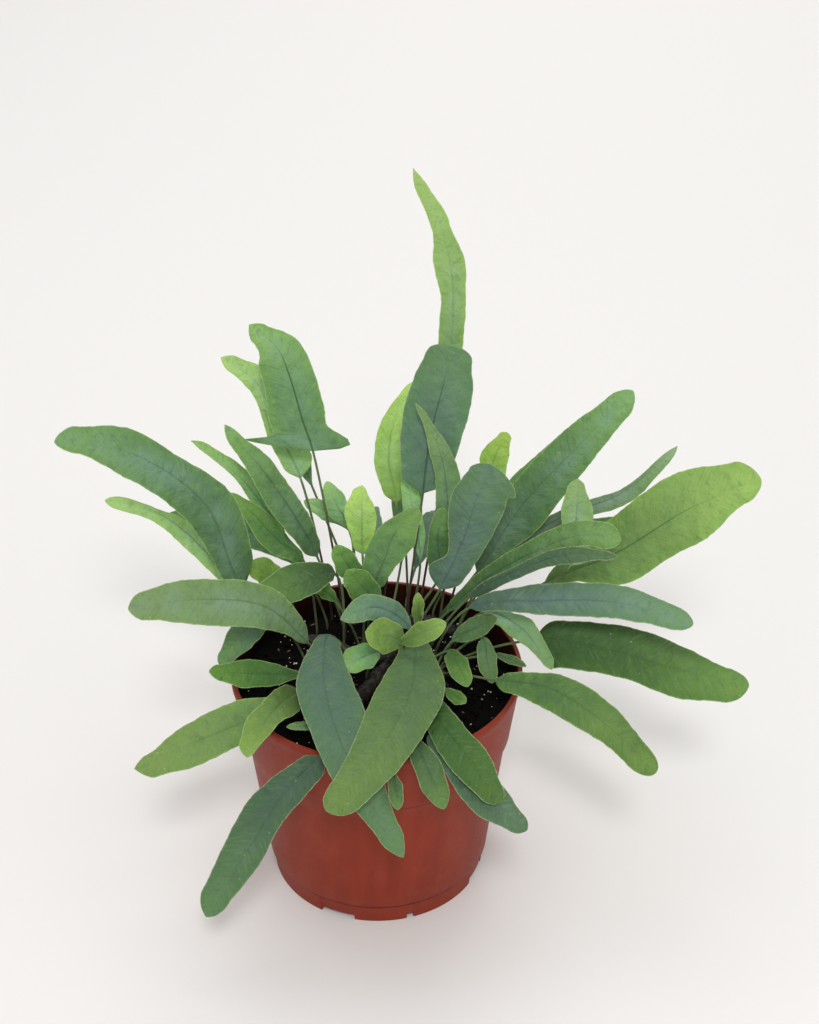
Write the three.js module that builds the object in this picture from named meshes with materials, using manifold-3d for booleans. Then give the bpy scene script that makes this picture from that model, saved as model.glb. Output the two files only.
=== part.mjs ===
// Potted blue star fern in a round plastic nursery pot. Millimetres, +Z up, front towards -Y.
// Origin: centre of the flat pad under the pot, which stands on the floor plane z = 0.
import * as THREE from 'three';
import Module from 'manifold-3d';

const wasm = await Module();
wasm.setup();

// Pot
const RIM_R = 60;            // outer radius of the rim
const RIM_TOP = 101;
const LIP_H = 3;             // height of the thick lip at the rim
const LIP_OUT = 0.8;         // how far the lip stands proud of the collar
const COLLAR_Z = 71.5;       // lower edge of the collar
const COLLAR_R = 55.7;
const BODY_TOP_R = 54.2;     // body just under the collar
const RING_Z = 9.8;          // step between body and skirt
const RING_R = 46.8;
const SKIRT_R = 46;
const BASE_R = 44.8;
const WALL = 1.3;
const FLOOR_Z = 3;           // underside of the pot floor
const FLOOR_T = 1.6;
const PAD_R = 12;            // central pad the pot also rests on
const POT_SIDES = 40;
const NOTCHES = [[-112, 15], [-72, 3], [-20, 15], [60, 15], [150, 15]]; // [azimuth deg, width mm]
const NOTCH_H = 2.6;
const DRAIN_HOLES = 5;
const DRAIN_R = 4;
const DRAIN_RING_R = 30;

// Soil and creeping rhizome
const GAP = 0.35;            // clearance between parts that touch in the real plant
const SOIL_TOP = 92;
const SOIL_SIDES = 24;
const SOIL_RINGS = [14, 28, 42];
const SOIL_ROUGH = 0.9;      // random rise and fall of the soil top
const SOCKET_DEPTH = 4.5;
const SOCKET_R = 1.25;
const STRAIGHT_H = 4;        // the foot of a stipe stands upright up to here above the soil
const BUD_R = 2.6;           // bud that several young fronds share
const BUD_H = 1.5;
const SOCKET_SIDES = 6;
const RHIZOME_R = 3.2;

// Fronds
const STIPE_R = 0.65;
const BLADE_T = 0.8;
const TIP_HALF = 0.5;
const FOOT_Z = SOIL_TOP - SOCKET_DEPTH + 0.5;
const BASE_POWER = 0.75;     // how fast the blade widens from its base
const TIP_BULGE = 2.4;       // how long the blade stays wide before the tip
const RING_EASE = 1.4;       // draws the cross-sections together towards the tip
const LOBE_SPAN = 0.07;      // length of a side lobe as a part of the blade length
const LOBE_STEP = 0.07;
const LOBE_SHEAR = 0.55;     // a left lobe leans to the tip and a right one from it, by this part
const SWAY = 0.06;           // the margins swing in and out by this share of the width
const WIDTH_FROM = 0.1;      // place on the blade, 0 neck to 1 tip, of a row's first half-width
const WIDTH_STEP = 0.2;      // from one half-width to the next
const WAVE = [0.4, 1.5];     // height of the waves of the margins, and their number
const STIPE_STEPS = 3;

const TINTS = {
  blue: '#4f7064', grey: '#648a6d', green: '#54803f', light: '#86a863', yellow: '#93b548',
};

// One row for each frond, all in whole millimetres and degrees: root [x, y] on the soil,
// places of the midrib from neck to tip, then either the greatest width or the half-widths of
// the left and right side at 1, 3, 5, 7 and 9 tenths of the blade, then face [azimuth,
// elevation] where the upper side looks, and the form.
const FRONDS = {
  frond_back_1: [[[18, 46], [[30, 57, 184], [30, 62, 213], [31, 66, 241], [26, 70, 266], [15, 74, 290]],
    [[4, 5, 6, 4, 3], [4, 5, 5, 5, 2]], [-90, 20], { point: 0.9, wave: [1, 2], tint: 'light' }]],
  frond_back_2: [[[12, 36], [[19, 34, 164], [22, 39, 188], [27, 46, 208], [31, 50, 224]],
    [[10, 12, 13, 12, 10], [10, 12, 13, 12, 9]], [-90, 25],
    { point: 0.4, wave: [0.8, 2], tint: 'blue' }]],
  frond_back_3: [[[2, 46], [[8, 48, 150], [5, 54, 166], [7, 60, 181], [16, 64, 199]],
    [[5, 6, 6, 5, 3], [5, 8, 9, 9, 5]], [-90, 25], { point: 0.7, tint: 'yellow' }]],
  frond_back_4: [[[26, 32], [[30, 30, 144], [29, 30, 163], [26, 32, 184], [16, 35, 206]],
    [[4, 5, 4, 4, 1], [4, 5, 6, 4, 2]], [-90, 25], { point: 0.8, tint: 'grey' }]],
  frond_back_5: [[[-14, 36],
    [[-26, 44, 178], [-30, 48, 190], [-35, 54, 207], [-40, 57, 219], [-51, 60, 228]],
    [[11, 13, 11, 10, 5], [8, 10, 10, 9, 4]], [-90, 25],
    { fold: 0.05, lobes: [[0.1, 1, 1.3], [0.02, -1, 1.8]], tint: 'green' }]],
  frond_back_6: [[[-20, 44], [[-32, 53, 159], [-41, 60, 177], [-49, 66, 196], [-64, 70, 207]],
    [[5, 5, 4, 5, 4], [8, 10, 9, 8, 5]], [-90, 30], { point: 0.8, tint: 'light' }]],
  frond_back_7: [[[30, 42], [[45, 52, 154], [47, 54, 162], [50, 56, 170], [54, 58, 178]],
    [[4, 4, 6, 5, 3], [6, 7, 6, 5, 3]], [-90, 30], { point: 0.5, tint: 'yellow' }]],
  frond_left_1: [[[-14, 30], [[-25, 33, 133], [-34, 35, 152], [-47, 37, 174], [-61, 40, 193]],
    [[5, 7, 8, 6, 4], [4, 5, 5, 5, 2]], [-70, 40], { point: 0.8, fold: 0.35, tint: 'green' }]],
  frond_left_2: [[[-22, 38], [[-39, 47, 134], [-48, 50, 147], [-57, 53, 159], [-77, 58, 174]],
    [[2, 3, 3, 2, 1], [2, 3, 4, 4, 3]], [-90, 50], { point: 0.9, tint: 'green' }]],
  frond_left_3: [[[-26, 20], [[-55, 20, 126], [-69, 19, 169], [-97, 16, 195], [-125, 10, 204]],
    [[6, 10, 11, 10, 4], [10, 11, 8, 9, 7]], [-80, 50],
    { point: 0.65, wave: [0.8, 2], tint: 'green' }]],
  frond_left_4: [[[-30, 26], [[-58, 31, 116], [-73, 33, 138], [-89, 34, 153], [-111, 33, 161]],
    [[3, 5, 5, 4, 3], [3, 3, 4, 2, 3]], [-90, 55], { point: 0.7, tint: 'light' }]],
  frond_left_5: [[[-26, 34], [[-31, 36, 129], [-41, 37, 138], [-51, 40, 149], [-61, 43, 158]],
    [[4, 6, 6, 4, 2], [2, 4, 5, 4, 2]], [-90, 50], { point: 0.8, tint: 'green' }]],
  frond_left_6: [[[-34, 34], [[-38, 32, 115], [-46, 33, 124], [-54, 34, 128]], 12, [-90, 60],
    { um: 0.5, point: 0.6, tint: 'yellow' }]],
  frond_left_7: [[[-14, 18], [[-17, 15, 137], [-30, 10, 136], [-47, 5, 131]],
    [[4, 6, 7, 7, 5], [4, 7, 9, 9, 7]], [-90, 60], { tint: 'green' }]],
  frond_left_8: [[[-20, 10], [[-28, 0, 113], [-45, -11, 140], [-72, -22, 151], [-96, -28, 151]],
    [[3, 9, 11, 10, 6], [5, 8, 8, 8, 6]], [-85, 50],
    { point: 0.7, wave: [0.6, 3], tint: 'light' }]],
  frond_left_9: [[[-30, 10], [[-43, 5, 124], [-50, 3, 120], [-56, 0, 116], [-64, -6, 106]],
    [[4, 6, 7, 7, 4], [3, 4, 6, 5, 3]], [-90, 60], { tint: 'blue' }]],
  frond_left_10: [[[-24, 2], [[-30, -12, 106], [-48, -19, 112], [-66, -28, 120]],
    [[2, 5, 6, 7, 4], [2, 4, 6, 5, 3]], [-80, 60], { point: 0.7, tint: 'green' }]],
  frond_left_11: [[[-18, -12], [[-34, -28, 105], [-52, -40, 104], [-73, -51, 102], [-94, -60, 97]],
    [[3, 7, 9, 10, 7], [5, 9, 9, 7, 3]], [-80, 60], { point: 0.9, tint: 'light' }]],
  frond_left_12: [[[-20, -4], [[-30, -24, 107], [-41, -44, 111], [-50, -60, 103]],
    [[5, 7, 5, 4, 2], [6, 6, 6, 7, 5]], [-80, 60], { tint: 'yellow' }]],
  frond_left_13: [[[-12, -15], [[-20, -38, 103], [-27, -42, 104], [-35, -44, 105]], 4, [-80, 60],
    { tint: 'green' }]],
  frond_front_1: [[[-6, -16], [[-21, -62, 105], [-34, -74, 98], [-49, -79, 73], [-67, -84, 41]],
    [[6, 7, 6, 7, 5], [5, 7, 10, 9, 7]], [-100, 35],
    { point: 0.7, wave: [0.6, 2], tint: 'blue' }]],
  frond_front_2: [[[-10, 8], [[-19, 1, 116], [-20, -33, 115], [-9, -66, 104], [11, -80, 69]],
    [[6, 11, 13, 10, 5], [5, 11, 10, 9, 5]], [-90, 60], { point: 0.8, tint: 'blue' }]],
  frond_front_3: [[[10, 2], [[15, -1, 115], [14, -36, 116], [2, -65, 111], [-18, -86, 98]],
    [[6, 13, 12, 11, 9], [6, 12, 13, 10, 6]], [-90, 60], { point: 0.55, tint: 'grey' }]],
  frond_front_4: [[[14, -8], [[19, -30, 108], [27, -50, 109], [38, -65, 104], [49, -76, 94]],
    [[6, 7, 7, 7, 4], [5, 6, 8, 8, 6]], [-80, 50], { tint: 'green' }]],
  frond_front_5: [[[20, -16], [[22, -48, 106], [37, -67, 97], [59, -80, 83]],
    [[4, 6, 7, 7, 4], [4, 5, 7, 8, 5]], [-80, 50], { point: 0.7, tint: 'blue' }]],
  frond_right_1: [[[30, 18], [[44, 14, 118], [59, 2, 119], [71, -15, 111]],
    [[2, 3, 5, 4, 3], [4, 5, 6, 4, 2]], [-80, 50], { point: 0.7, fold: 0.3, tint: 'grey' }]],
  frond_right_2: [[[24, 14], [[38, 4, 128], [68, -5, 138], [97, -12, 142], [126, -18, 136]],
    [[4, 7, 7, 7, 5], [4, 6, 7, 7, 5]], [-95, 55], { wave: [0.6, 2], tint: 'blue' }]],
  frond_right_3: [[[32, 8], [[65, 2, 113], [91, -6, 115], [121, -16, 112], [150, -22, 108]],
    [[8, 10, 11, 9, 5], [12, 11, 10, 12, 9]], [-95, 50], { wave: [0.8, 2], tint: 'green' }]],
  frond_right_4: [[[26, 0], [[48, -22, 111], [69, -34, 116], [89, -48, 111], [110, -60, 95]],
    [[4, 6, 8, 7, 5], [5, 8, 9, 7, 6]], [-90, 55],
    { point: 0.5, wave: [0.8, 3], tint: 'green' }]],
  frond_right_5: [[[26, 38], [[42, 36, 123], [59, 40, 152], [82, 45, 179], [104, 50, 203]],
    [[6, 8, 9, 9, 7], [5, 11, 10, 8, 6]], [-80, 40], { tint: 'green' }]],
  frond_right_6: [[[34, 32], [[50, 44, 122], [77, 48, 142], [102, 50, 153], [124, 52, 175]],
    [[2, 3, 3, 3, 3], [3, 3, 4, 4, 1]], [-80, 50], { point: 0.8, tint: 'grey' }]],
  frond_right_7: [[[33, 27], [[70, 28, 123], [99, 27, 139], [127, 24, 163], [154, 20, 180]],
    [[5, 12, 14, 13, 10], [4, 13, 13, 13, 8]], [-85, 45],
    { point: 0.5, wave: [0.8, 2], tint: 'light' }]],
  frond_right_8: [[[33, 21], [[80, 24, 135], [81, 23, 153], [81, 23, 165], [81, 23, 178]],
    [[5, 5, 6, 6, 4], [6, 6, 7, 6, 3]], [-90, 25], { point: 0.7, tint: 'light' }]],
  frond_right_9: [[[20, 24], [[42, 19, 129], [62, 13, 148], [82, 9, 160], [98, 6, 160]],
    [[4, 5, 6, 6, 6], [3, 4, 4, 5, 5]], [-80, 45], { point: 0.7, tint: 'green' }]],
  frond_right_10: [[[22, 18], [[38, 11, 128], [58, 4, 147], [77, -1, 158], [96, -4, 159]],
    [[2, 2, 3, 3, 2], [3, 3, 3, 4, 2]], [-80, 40], { point: 0.8, tint: 'blue' }]],
  frond_mid_1: [[[14, 24], [[26, 14, 130], [35, 13, 155], [40, 14, 174], [45, 16, 190]],
    [[7, 6, 9, 10, 7], [7, 9, 11, 12, 9]], [-90, 20],
    { lobes: [[0.8, -1, 0.45]], tint: 'blue' }]],
  frond_mid_2: [[[10, 30], [[26, 24, 130], [25, 24, 147], [27, 26, 162]],
    [[5, 5, 4, 4, 3], [4, 4, 5, 4, 3]], [-90, 20], { point: 0.7, tint: 'green' }]],
  frond_mid_3: [[[4, 26], [[-1, 16, 128], [3, 17, 142], [8, 19, 155], [17, 22, 165]],
    [[6, 8, 8, 6, 3], [4, 5, 8, 9, 5]], [-90, 25], { point: 0.8, fold: 0.2, tint: 'grey' }]],
  frond_mid_4: [[[13, 8], [[14, 0, 120], [0, -4, 134], [-14, -12, 134]], 11, [-90, 40],
    { um: 0.5, point: 0.7, tint: 'blue' }]],
  frond_mid_5: [[[-4, 34], [[-6, 32, 135], [-6, 34, 151], [-6, 38, 165]],
    [[4, 5, 7, 7, 4], [4, 5, 6, 5, 2]], [-90, 25], { point: 0.8, tint: 'yellow' }]],
  frond_mid_6: [[[-1, 15], [[1, 8, 126], [-6, 9, 135], [-12, 10, 142]], 12, [-90, 30],
    { um: 0.5, point: 0.6, tint: 'green' }]],
  frond_mid_7: [[[-4, 2], [[1, -4, 111], [-6, -10, 113], [-13, -16, 112]], 12, [-90, 60],
    { um: 0.5, point: 0.5, tint: 'green' }]],
  young_1: [
    [[-6, 23], [[-6, 24, 124], [-12, 25, 134], [-17, 28, 142]], 10, [-90, 30], { tint: 'green' }],
    [[-8, 22], [[-17, 20, 119], [-21, 20, 124], [-25, 20, 128]], 6, [-90, 30], { tint: 'green' }],
  ],
  young_2: [
    [[5, 11], [[9, -11, 128], [2, -14, 130], [-4, -18, 131]], 12, [-90, 40], { tint: 'yellow' }],
    [[7, 11], [[10, -15, 124], [19, -17, 131], [28, -17, 136]], 9, [-90, 40], { tint: 'yellow' }],
    [[6, 13], [[16, 8, 115], [17, 8, 124], [17, 10, 131]], 5, [-90, 30], { tint: 'grey' }],
  ],
  young_3: [
    [[17, 3], [[29, 2, 107], [33, -10, 109], [37, -20, 106]], 9, [-90, 60], { tint: 'light' }],
    [[17, 1], [[28, -20, 105], [32, -24, 104], [36, -28, 104]], 6, [-90, 60], { tint: 'green' }],
  ],
  young_4: [
    [[27, 7], [[43, 6, 111], [45, -4, 108], [47, -14, 103]], 8, [-90, 60], { tint: 'grey' }],
    [[27, 5], [[48, 1, 106], [54, -3, 107], [61, -8, 107]], 4, [-90, 60], { tint: 'grey' }],
    [[25, 6], [[35, 4, 112], [40, 0, 117], [46, -4, 121]], 8, [-90, 50], { tint: 'green' }],
  ],
  young_5: [
    [[15, 41], [[18, 37, 129], [15, 39, 150], [12, 43, 170]], 8, [-90, 20], { tint: 'grey' }],
    [[13, 43], [[10, 54, 147], [7, 56, 156], [4, 58, 166]], 6, [-90, 20], { tint: 'blue' }],
  ],
  young_6: [
    [[-10, 41], [[-11, 44, 139], [-16, 46, 148], [-21, 50, 159]], 9, [-90, 30], { tint: 'grey' }],
    [[-11, 43], [[-12, 52, 133], [-22, 56, 140], [-31, 58, 144]], 7, [-90, 30], { tint: 'blue' }],
  ],
  young_7: [
    [[7, -12], [[14, -52, 108], [21, -66, 101], [27, -72, 87]], 11, [-80, 50], { tint: 'grey' }],
    [[5, -12], [[7, -68, 103], [8, -72, 97], [9, -76, 90]], 6, [-80, 50], { tint: 'light' }],
  ],
  rear_1: [[[6, 42], [[10, 56, 114], [14, 82, 138], [24, 102, 140]], 14, [-90, 70], { tint: 'green' }]],
  rear_2: [[[24, 46], [[40, 58, 118], [66, 76, 140], [92, 88, 164]], 16, [-80, 50], { tint: 'green' }]],
  rear_3: [[[-16, 48], [[-30, 54, 112], [-62, 68, 124], [-94, 74, 124]], 15, [-90, 60],
    { tint: 'green' }]],
  rear_4: [[[-8, 48], [[-28, 64, 148], [-38, 80, 166], [-46, 92, 182]], 12, [-90, 40],
    { tint: 'green' }]],
  rear_5: [[[36, 38], [[52, 50, 114], [84, 62, 122], [118, 66, 126]], 14, [-80, 60],
    { tint: 'green' }]],
  rear_6: [[[0, 52], [[-2, 58, 110], [-6, 86, 118], [-10, 108, 106]], 14, [90, 80],
    { tint: 'blue' }]],
  rear_7: [[[12, 50], [[16, 58, 109], [26, 86, 115], [34, 110, 102]], 14, [90, 80],
    { tint: 'blue' }]],
};

// Paths of the creeping rhizome branches over the soil, [x, y, z]
const RHIZOMES = [
  [[-34, 28, 92], [-22, 26, 93], [-8, 16, 93], [6, 14, 93], [18, 8, 93], [28, -6, 92]],
  [[-8, 16, 92], [-2, 28, 93], [8, 36, 93], [20, 40, 93], [34, 34, 92]],
  [[6, 14, 92], [0, 2, 93], [-6, -8, 92], [-16, -16, 91]],
];

const vec = (p) => new THREE.Vector3(...p);
const rad = (d) => d * Math.PI / 180;

function seeded(seed) {
  let s = seed;
  return () => {
    s = (s * 1664525 + 1013904223) % 4294967296;
    return s / 4294967296;
  };
}

function toManifold(points, faces) {
  const flat = new Float32Array(points.length * 3);
  points.forEach((p, i) => flat.set([p.x, p.y, p.z], i * 3));
  let volume = 0;
  for (const [a, b, c] of faces) {
    volume += points[a].dot(new THREE.Vector3().crossVectors(points[b], points[c]));
  }
  const tris = volume < 0 ? faces.map(([a, b, c]) => [a, c, b]) : faces;
  const mesh = new wasm.Mesh({
    numProp: 3, vertProperties: flat, triVerts: new Uint32Array(tris.flat()),
  });
  return new wasm.Manifold(mesh);
}

function toMesh(body, name, material) {
  const { vertProperties, triVerts, numProp } = body.getMesh();
  const positions = new Float32Array(vertProperties.length / numProp * 3);
  for (let i = 0; i < positions.length / 3; i += 1) {
    positions.set(vertProperties.slice(i * numProp, i * numProp + 3), i * 3);
  }
  const geometry = new THREE.BufferGeometry();
  geometry.setAttribute('position', new THREE.BufferAttribute(positions, 3));
  geometry.setIndex(new THREE.BufferAttribute(new Uint32Array(triVerts), 1));
  geometry.computeVertexNormals();
  const mesh = new THREE.Mesh(geometry, material);
  mesh.name = name;
  return mesh;
}

// Closed body between rings of equal point count, ends closed by fans
function loft(rings) {
  const n = rings[0].length;
  const points = rings.flat();
  const faces = [];
  for (let r = 0; r + 1 < rings.length; r += 1) {
    for (let k = 0; k < n; k += 1) {
      const a = r * n + k;
      const b = r * n + (k + 1) % n;
      faces.push([a, b, b + n], [a, b + n, a + n]);
    }
  }
  const last = (rings.length - 1) * n;
  for (let k = 1; k + 1 < n; k += 1) {
    faces.push([0, k + 1, k], [last, last + k, last + k + 1]);
  }
  return toManifold(points, faces);
}

function circle(radius, z, sides, turn = 0) {
  return Array.from({ length: sides }, (_, k) => {
    const a = 2 * Math.PI * k / sides + turn;
    return new THREE.Vector3(radius * Math.cos(a), radius * Math.sin(a), z);
  });
}

function prism(x, y, radius, z0, z1, sides) {
  const shift = new THREE.Vector3(x, y, 0);
  return loft([z0, z1].map((z) => circle(radius, z, sides).map((p) => p.add(shift))));
}

// Outer radius of the pot wall at height z, without the lip
function wallRadius(z) {
  const mix = (z0, r0, z1, r1) => r0 + (r1 - r0) * (z - z0) / (z1 - z0);
  if (z < RING_Z) return mix(0, BASE_R, RING_Z, SKIRT_R);
  if (z < COLLAR_Z) return mix(RING_Z, RING_R, COLLAR_Z, BODY_TOP_R);
  return mix(COLLAR_Z, COLLAR_R, RIM_TOP, RIM_R - LIP_OUT);
}

function revolve(profile, sides) {
  return loft(profile.map(([r, z]) => circle(r, z, sides)));
}

function potBody() {
  const shell = revolve([
    [BASE_R, 0], [SKIRT_R, RING_Z], [RING_R, RING_Z + 0.4], [BODY_TOP_R, COLLAR_Z - 0.6],
    [COLLAR_R, COLLAR_Z], [RIM_R - LIP_OUT, RIM_TOP - LIP_H - 0.6], [RIM_R, RIM_TOP - LIP_H],
    [RIM_R, RIM_TOP - 0.6], [RIM_R - 0.6, RIM_TOP],
  ], POT_SIDES);
  const floorTop = FLOOR_Z + FLOOR_T;
  const inside = revolve([
    [wallRadius(floorTop) - WALL, floorTop], [RING_R - WALL, RING_Z + 1],
    [BODY_TOP_R - WALL, COLLAR_Z], [COLLAR_R - WALL, COLLAR_Z + 1],
    [RIM_R - LIP_OUT - WALL, RIM_TOP - LIP_H], [RIM_R - LIP_OUT - WALL, RIM_TOP + 1],
  ], POT_SIDES);
  const under = revolve([
    [BASE_R - WALL, -1], [wallRadius(FLOOR_Z) - WALL, FLOOR_Z],
  ], POT_SIDES).subtract(revolve([[PAD_R, -2], [PAD_R, FLOOR_Z + 1]], POT_SIDES / 2));
  let body = shell.subtract(inside).subtract(under);
  for (const [azimuth, width] of NOTCHES) {
    const cut = wasm.Manifold.cube([BASE_R, width, NOTCH_H * 2], true)
      .translate([BASE_R, 0, 0]).rotate([0, 0, azimuth]);
    body = body.subtract(cut);
  }
  for (let i = 0; i < DRAIN_HOLES; i += 1) {
    const a = 2 * Math.PI * i / DRAIN_HOLES;
    const [x, y] = [DRAIN_RING_R * Math.cos(a), DRAIN_RING_R * Math.sin(a)];
    body = body.subtract(prism(x, y, DRAIN_R, FLOOR_Z - 1, floorTop + 1, 8));
  }
  return body;
}

// Soil fill with an uneven top; holes and trenches are cut afterwards
function soilBody() {
  const random = seeded(7);
  const clear = WALL + GAP;
  const bottom = FLOOR_Z + FLOOR_T + GAP;
  const rings = [
    circle(wallRadius(bottom) - clear - 0.3, bottom, SOIL_SIDES),
    circle(RING_R - clear, RING_Z + 2, SOIL_SIDES),
    circle(BODY_TOP_R - clear - 0.4, COLLAR_Z, SOIL_SIDES),
    circle(wallRadius(SOIL_TOP - 4) - clear - 0.4, SOIL_TOP - 1.5, SOIL_SIDES),
  ];
  for (const radius of [...SOIL_RINGS].reverse()) {
    const ring = circle(radius, SOIL_TOP, SOIL_SIDES);
    ring.forEach((p) => { p.z += SOIL_ROUGH * (random() - 0.5); });
    rings.push(ring);
  }
  return loft(rings);
}

// Knobbly creeping stems with blunt ends, half sunk in the soil
function rhizomeBody(extra) {
  const sides = 8;
  const bodies = RHIZOMES.map((path, b) => {
    const curve = new THREE.CatmullRomCurve3(path.map(vec), false, 'centripetal');
    const steps = (path.length - 1) * 2;
    const rings = [];
    for (let i = 0; i <= steps; i += 1) {
      const t = i / steps;
      const c = curve.getPoint(t);
      const along = curve.getTangent(t);
      const across = new THREE.Vector3(-along.y, along.x, 0).normalize();
      const up = new THREE.Vector3().crossVectors(along, across);
      const ends = i === 0 || i === steps ? 0.55 : 1;
      const radius = RHIZOME_R * ends * (1 + 0.12 * Math.sin(2.3 * i + b)) + extra;
      rings.push(circle(radius, 0, sides).map((q) => c.clone()
        .addScaledVector(across, q.x).addScaledVector(up, q.y)
        .addScaledVector(along, i === 0 ? -extra : i === steps ? extra : 0)));
    }
    return loft(rings);
  });
  return wasm.Manifold.union(bodies);
}

// Share of the full width at u = 0 (neck) .. 1 (tip)
function bladeShape(u, um, point) {
  if (u <= um) return Math.sin(Math.PI / 2 * u / um) ** BASE_POWER;
  return Math.max(0, 1 - ((u - um) / (1 - um)) ** TIP_BULGE) ** point;
}

function lobeShare(u, side, lobes) {
  return lobes.reduce((sum, [at, onSide, amount]) => (
    onSide === side ? sum + amount * Math.exp(-(((u - at) / LOBE_SPAN) ** 2)) : sum), 0);
}

// Cubic through evenly spaced values, held beyond both ends
function through(values, u) {
  const last = values.length - 1;
  const x = Math.min(Math.max((u - WIDTH_FROM) / WIDTH_STEP, 0), last);
  const i = Math.min(Math.floor(x), last - 1);
  const [a, b] = [values[i], values[i + 1]];
  const [before, after] = [values[i - 1] ?? a, values[i + 2] ?? b];
  const [start, end] = [(b - before) / 2, (after - a) / 2];
  const f = x - i;
  return a + start * f + (3 * (b - a) - 2 * start - end) * f ** 2 + (2 * (a - b) + start + end) * f ** 3;
}

// Half-width of one side of the blade, from the row's half-widths or from its greatest width
function halfWidth(u, side, width, form) {
  const { um = 0.5, point = 0.6, wave = WAVE, lobes = [] } = form;
  const lobe = lobeShare(u, side, lobes);
  if (typeof width === 'number') {
    const sway = SWAY * Math.sin(2 * Math.PI * (wave[1] + 0.7) * u + 1.7 * side);
    return width / 2 * bladeShape(u, um, point) * (1 + sway + lobe);
  }
  const rise = Math.sin(Math.PI / 2 * Math.min(1, u / WIDTH_FROM)) ** BASE_POWER;
  const late = Math.max(0, 1 - (1 - u) / WIDTH_FROM);
  return through(width[side > 0 ? 0 : 1], u) * rise * (1 - late ** 2) ** point * (1 + lobe);
}

// Places of the blade cross-sections, closer towards the tip and at lobes
function bladeSteps(row, length) {
  const [, , width, , { lobes = [] }] = row;
  const count = length > 70 ? 10 : length > 35 ? 8 : 6;
  const steps = typeof width === 'number'
    ? Array.from({ length: count }, (_, j) => 1 - (1 - (j + 1) / count) ** RING_EASE)
    : [0.04, 0.1, 0.3, 0.5, 0.7, 0.9, 0.96, 1, ...(length > 70 ? [0.2, 0.4, 0.6, 0.8] : [])];
  for (const [at] of lobes) steps.push(at, at + LOBE_STEP, ...(at > 0.1 ? [at - LOBE_STEP] : []));
  steps.sort((a, b) => a - b);
  return steps.filter((u, i) => i === steps.length - 1 || steps[i + 1] - u > 0.025);
}

// Six points of a cross-section: left edge, midrib and right edge on the upper side, then back below
function crossSection(curve, t, u, row) {
  const [, , width, face, form] = row;
  const { fold = 0.12, wave = WAVE } = form;
  const centre = curve.getPoint(t);
  const along = curve.getTangent(t);
  const [azimuth, elevation] = face.map(rad);
  const look = new THREE.Vector3(Math.cos(elevation) * Math.cos(azimuth),
    Math.cos(elevation) * Math.sin(azimuth), Math.sin(elevation));
  const across = new THREE.Vector3().crossVectors(look, along).normalize();
  const up = new THREE.Vector3().crossVectors(along, across);
  const top = [];
  const bottom = [];
  for (const side of [1, 0, -1]) {
    const half = Math.max(u > 0 ? TIP_HALF : STIPE_R, u > 0 ? halfWidth(u, side, width, form) : 0);
    const ripple = u > 0
      ? wave[0] * Math.sin(2 * Math.PI * wave[1] * u + side) * Math.sin(Math.PI * u) : 0;
    const lift = side ? fold * half * (u > 0 ? Math.min(1, u * 5) : 0) + ripple : 0;
    const thick = u > 0 ? BLADE_T / 2 : STIPE_R * (side ? 0.5 : 1);
    const lobe = lobeShare(u, side, form.lobes || []);
    const ahead = side * LOBE_SHEAR * half * lobe / (1 + lobe);
    const at = (h) => centre.clone().addScaledVector(across, side * half).addScaledVector(up, lift + h)
      .addScaledVector(along, ahead);
    top.push(at(thick));
    bottom.unshift(at(-thick));
  }
  return [...top, ...bottom];
}

// One frond: wiry stipe and strap-shaped blade as a single closed body
function frondBody(row) {
  const [root, blade] = row;
  const path = [[...root, FOOT_Z], [...root, SOIL_TOP + STRAIGHT_H], ...blade].map(vec);
  const curve = new THREE.CatmullRomCurve3(path, false, 'centripetal');
  const spans = path.length - 1;
  const rings = [crossSection(curve, 0, -1, row)];
  for (let i = 0; i <= STIPE_STEPS; i += 1) {
    rings.push(crossSection(curve, (1 + i / STIPE_STEPS) / spans, -1, row));
  }
  const length = path.slice(3).reduce((sum, p, i) => sum + p.distanceTo(path[i + 2]), 0);
  for (const u of bladeSteps(row, length)) {
    rings.push(crossSection(curve, (2 + (spans - 2) * u) / spans, u, row));
  }
  return loftBlade(rings);
}

// Like loft, but with the same diagonals on the upper and lower side of the blade
function loftBlade(rings) {
  const n = 6;
  const points = rings.flat();
  const faces = [];
  for (let r = 0; r + 1 < rings.length; r += 1) {
    const o = r * n;
    for (const [a, b, c, d] of [[0, 1, 5, 4], [1, 2, 4, 3]]) {
      faces.push([o + a, o + b, o + b + n], [o + a, o + b + n, o + a + n]);
      faces.push([o + c, o + d + n, o + d], [o + c, o + c + n, o + d + n]);
    }
    faces.push([o + 2, o + 3, o + 3 + n], [o + 2, o + 3 + n, o + 2 + n]);
    faces.push([o + 5, o, o + n], [o + 5, o + n, o + 5 + n]);
  }
  const e = (rings.length - 1) * n;
  for (const [a, b, c, d] of [[0, 1, 4, 5], [1, 2, 3, 4]]) {
    faces.push([a, c, b], [a, d, c], [e + a, e + b, e + c], [e + a, e + c, e + d]);
  }
  return toManifold(points, faces);
}

// Centre of the shared bud of several young fronds
function budCentre(rows) {
  return [0, 1].map((k) => rows.reduce((sum, [root]) => sum + root[k], 0) / rows.length);
}

// All fronds of a node; young ones that share a bud are joined to it
function frondNode(rows) {
  if (rows.length === 1) return frondBody(rows[0]);
  const bud = prism(...budCentre(rows), BUD_R, FOOT_Z - 0.1, SOIL_TOP + BUD_H, 8);
  return wasm.Manifold.union([bud, ...rows.map(frondBody)]);
}

function sockets() {
  return wasm.Manifold.union(Object.values(FRONDS).map((rows) => {
    const radius = rows.length > 1 ? BUD_R + 0.6 : SOCKET_R;
    const sides = rows.length > 1 ? 8 : SOCKET_SIDES;
    return prism(...budCentre(rows), radius, SOIL_TOP - SOCKET_DEPTH, SOIL_TOP + 8, sides);
  }));
}

function plastic(color, roughness) {
  return new THREE.MeshStandardMaterial({ color, roughness, metalness: 0 });
}

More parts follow.
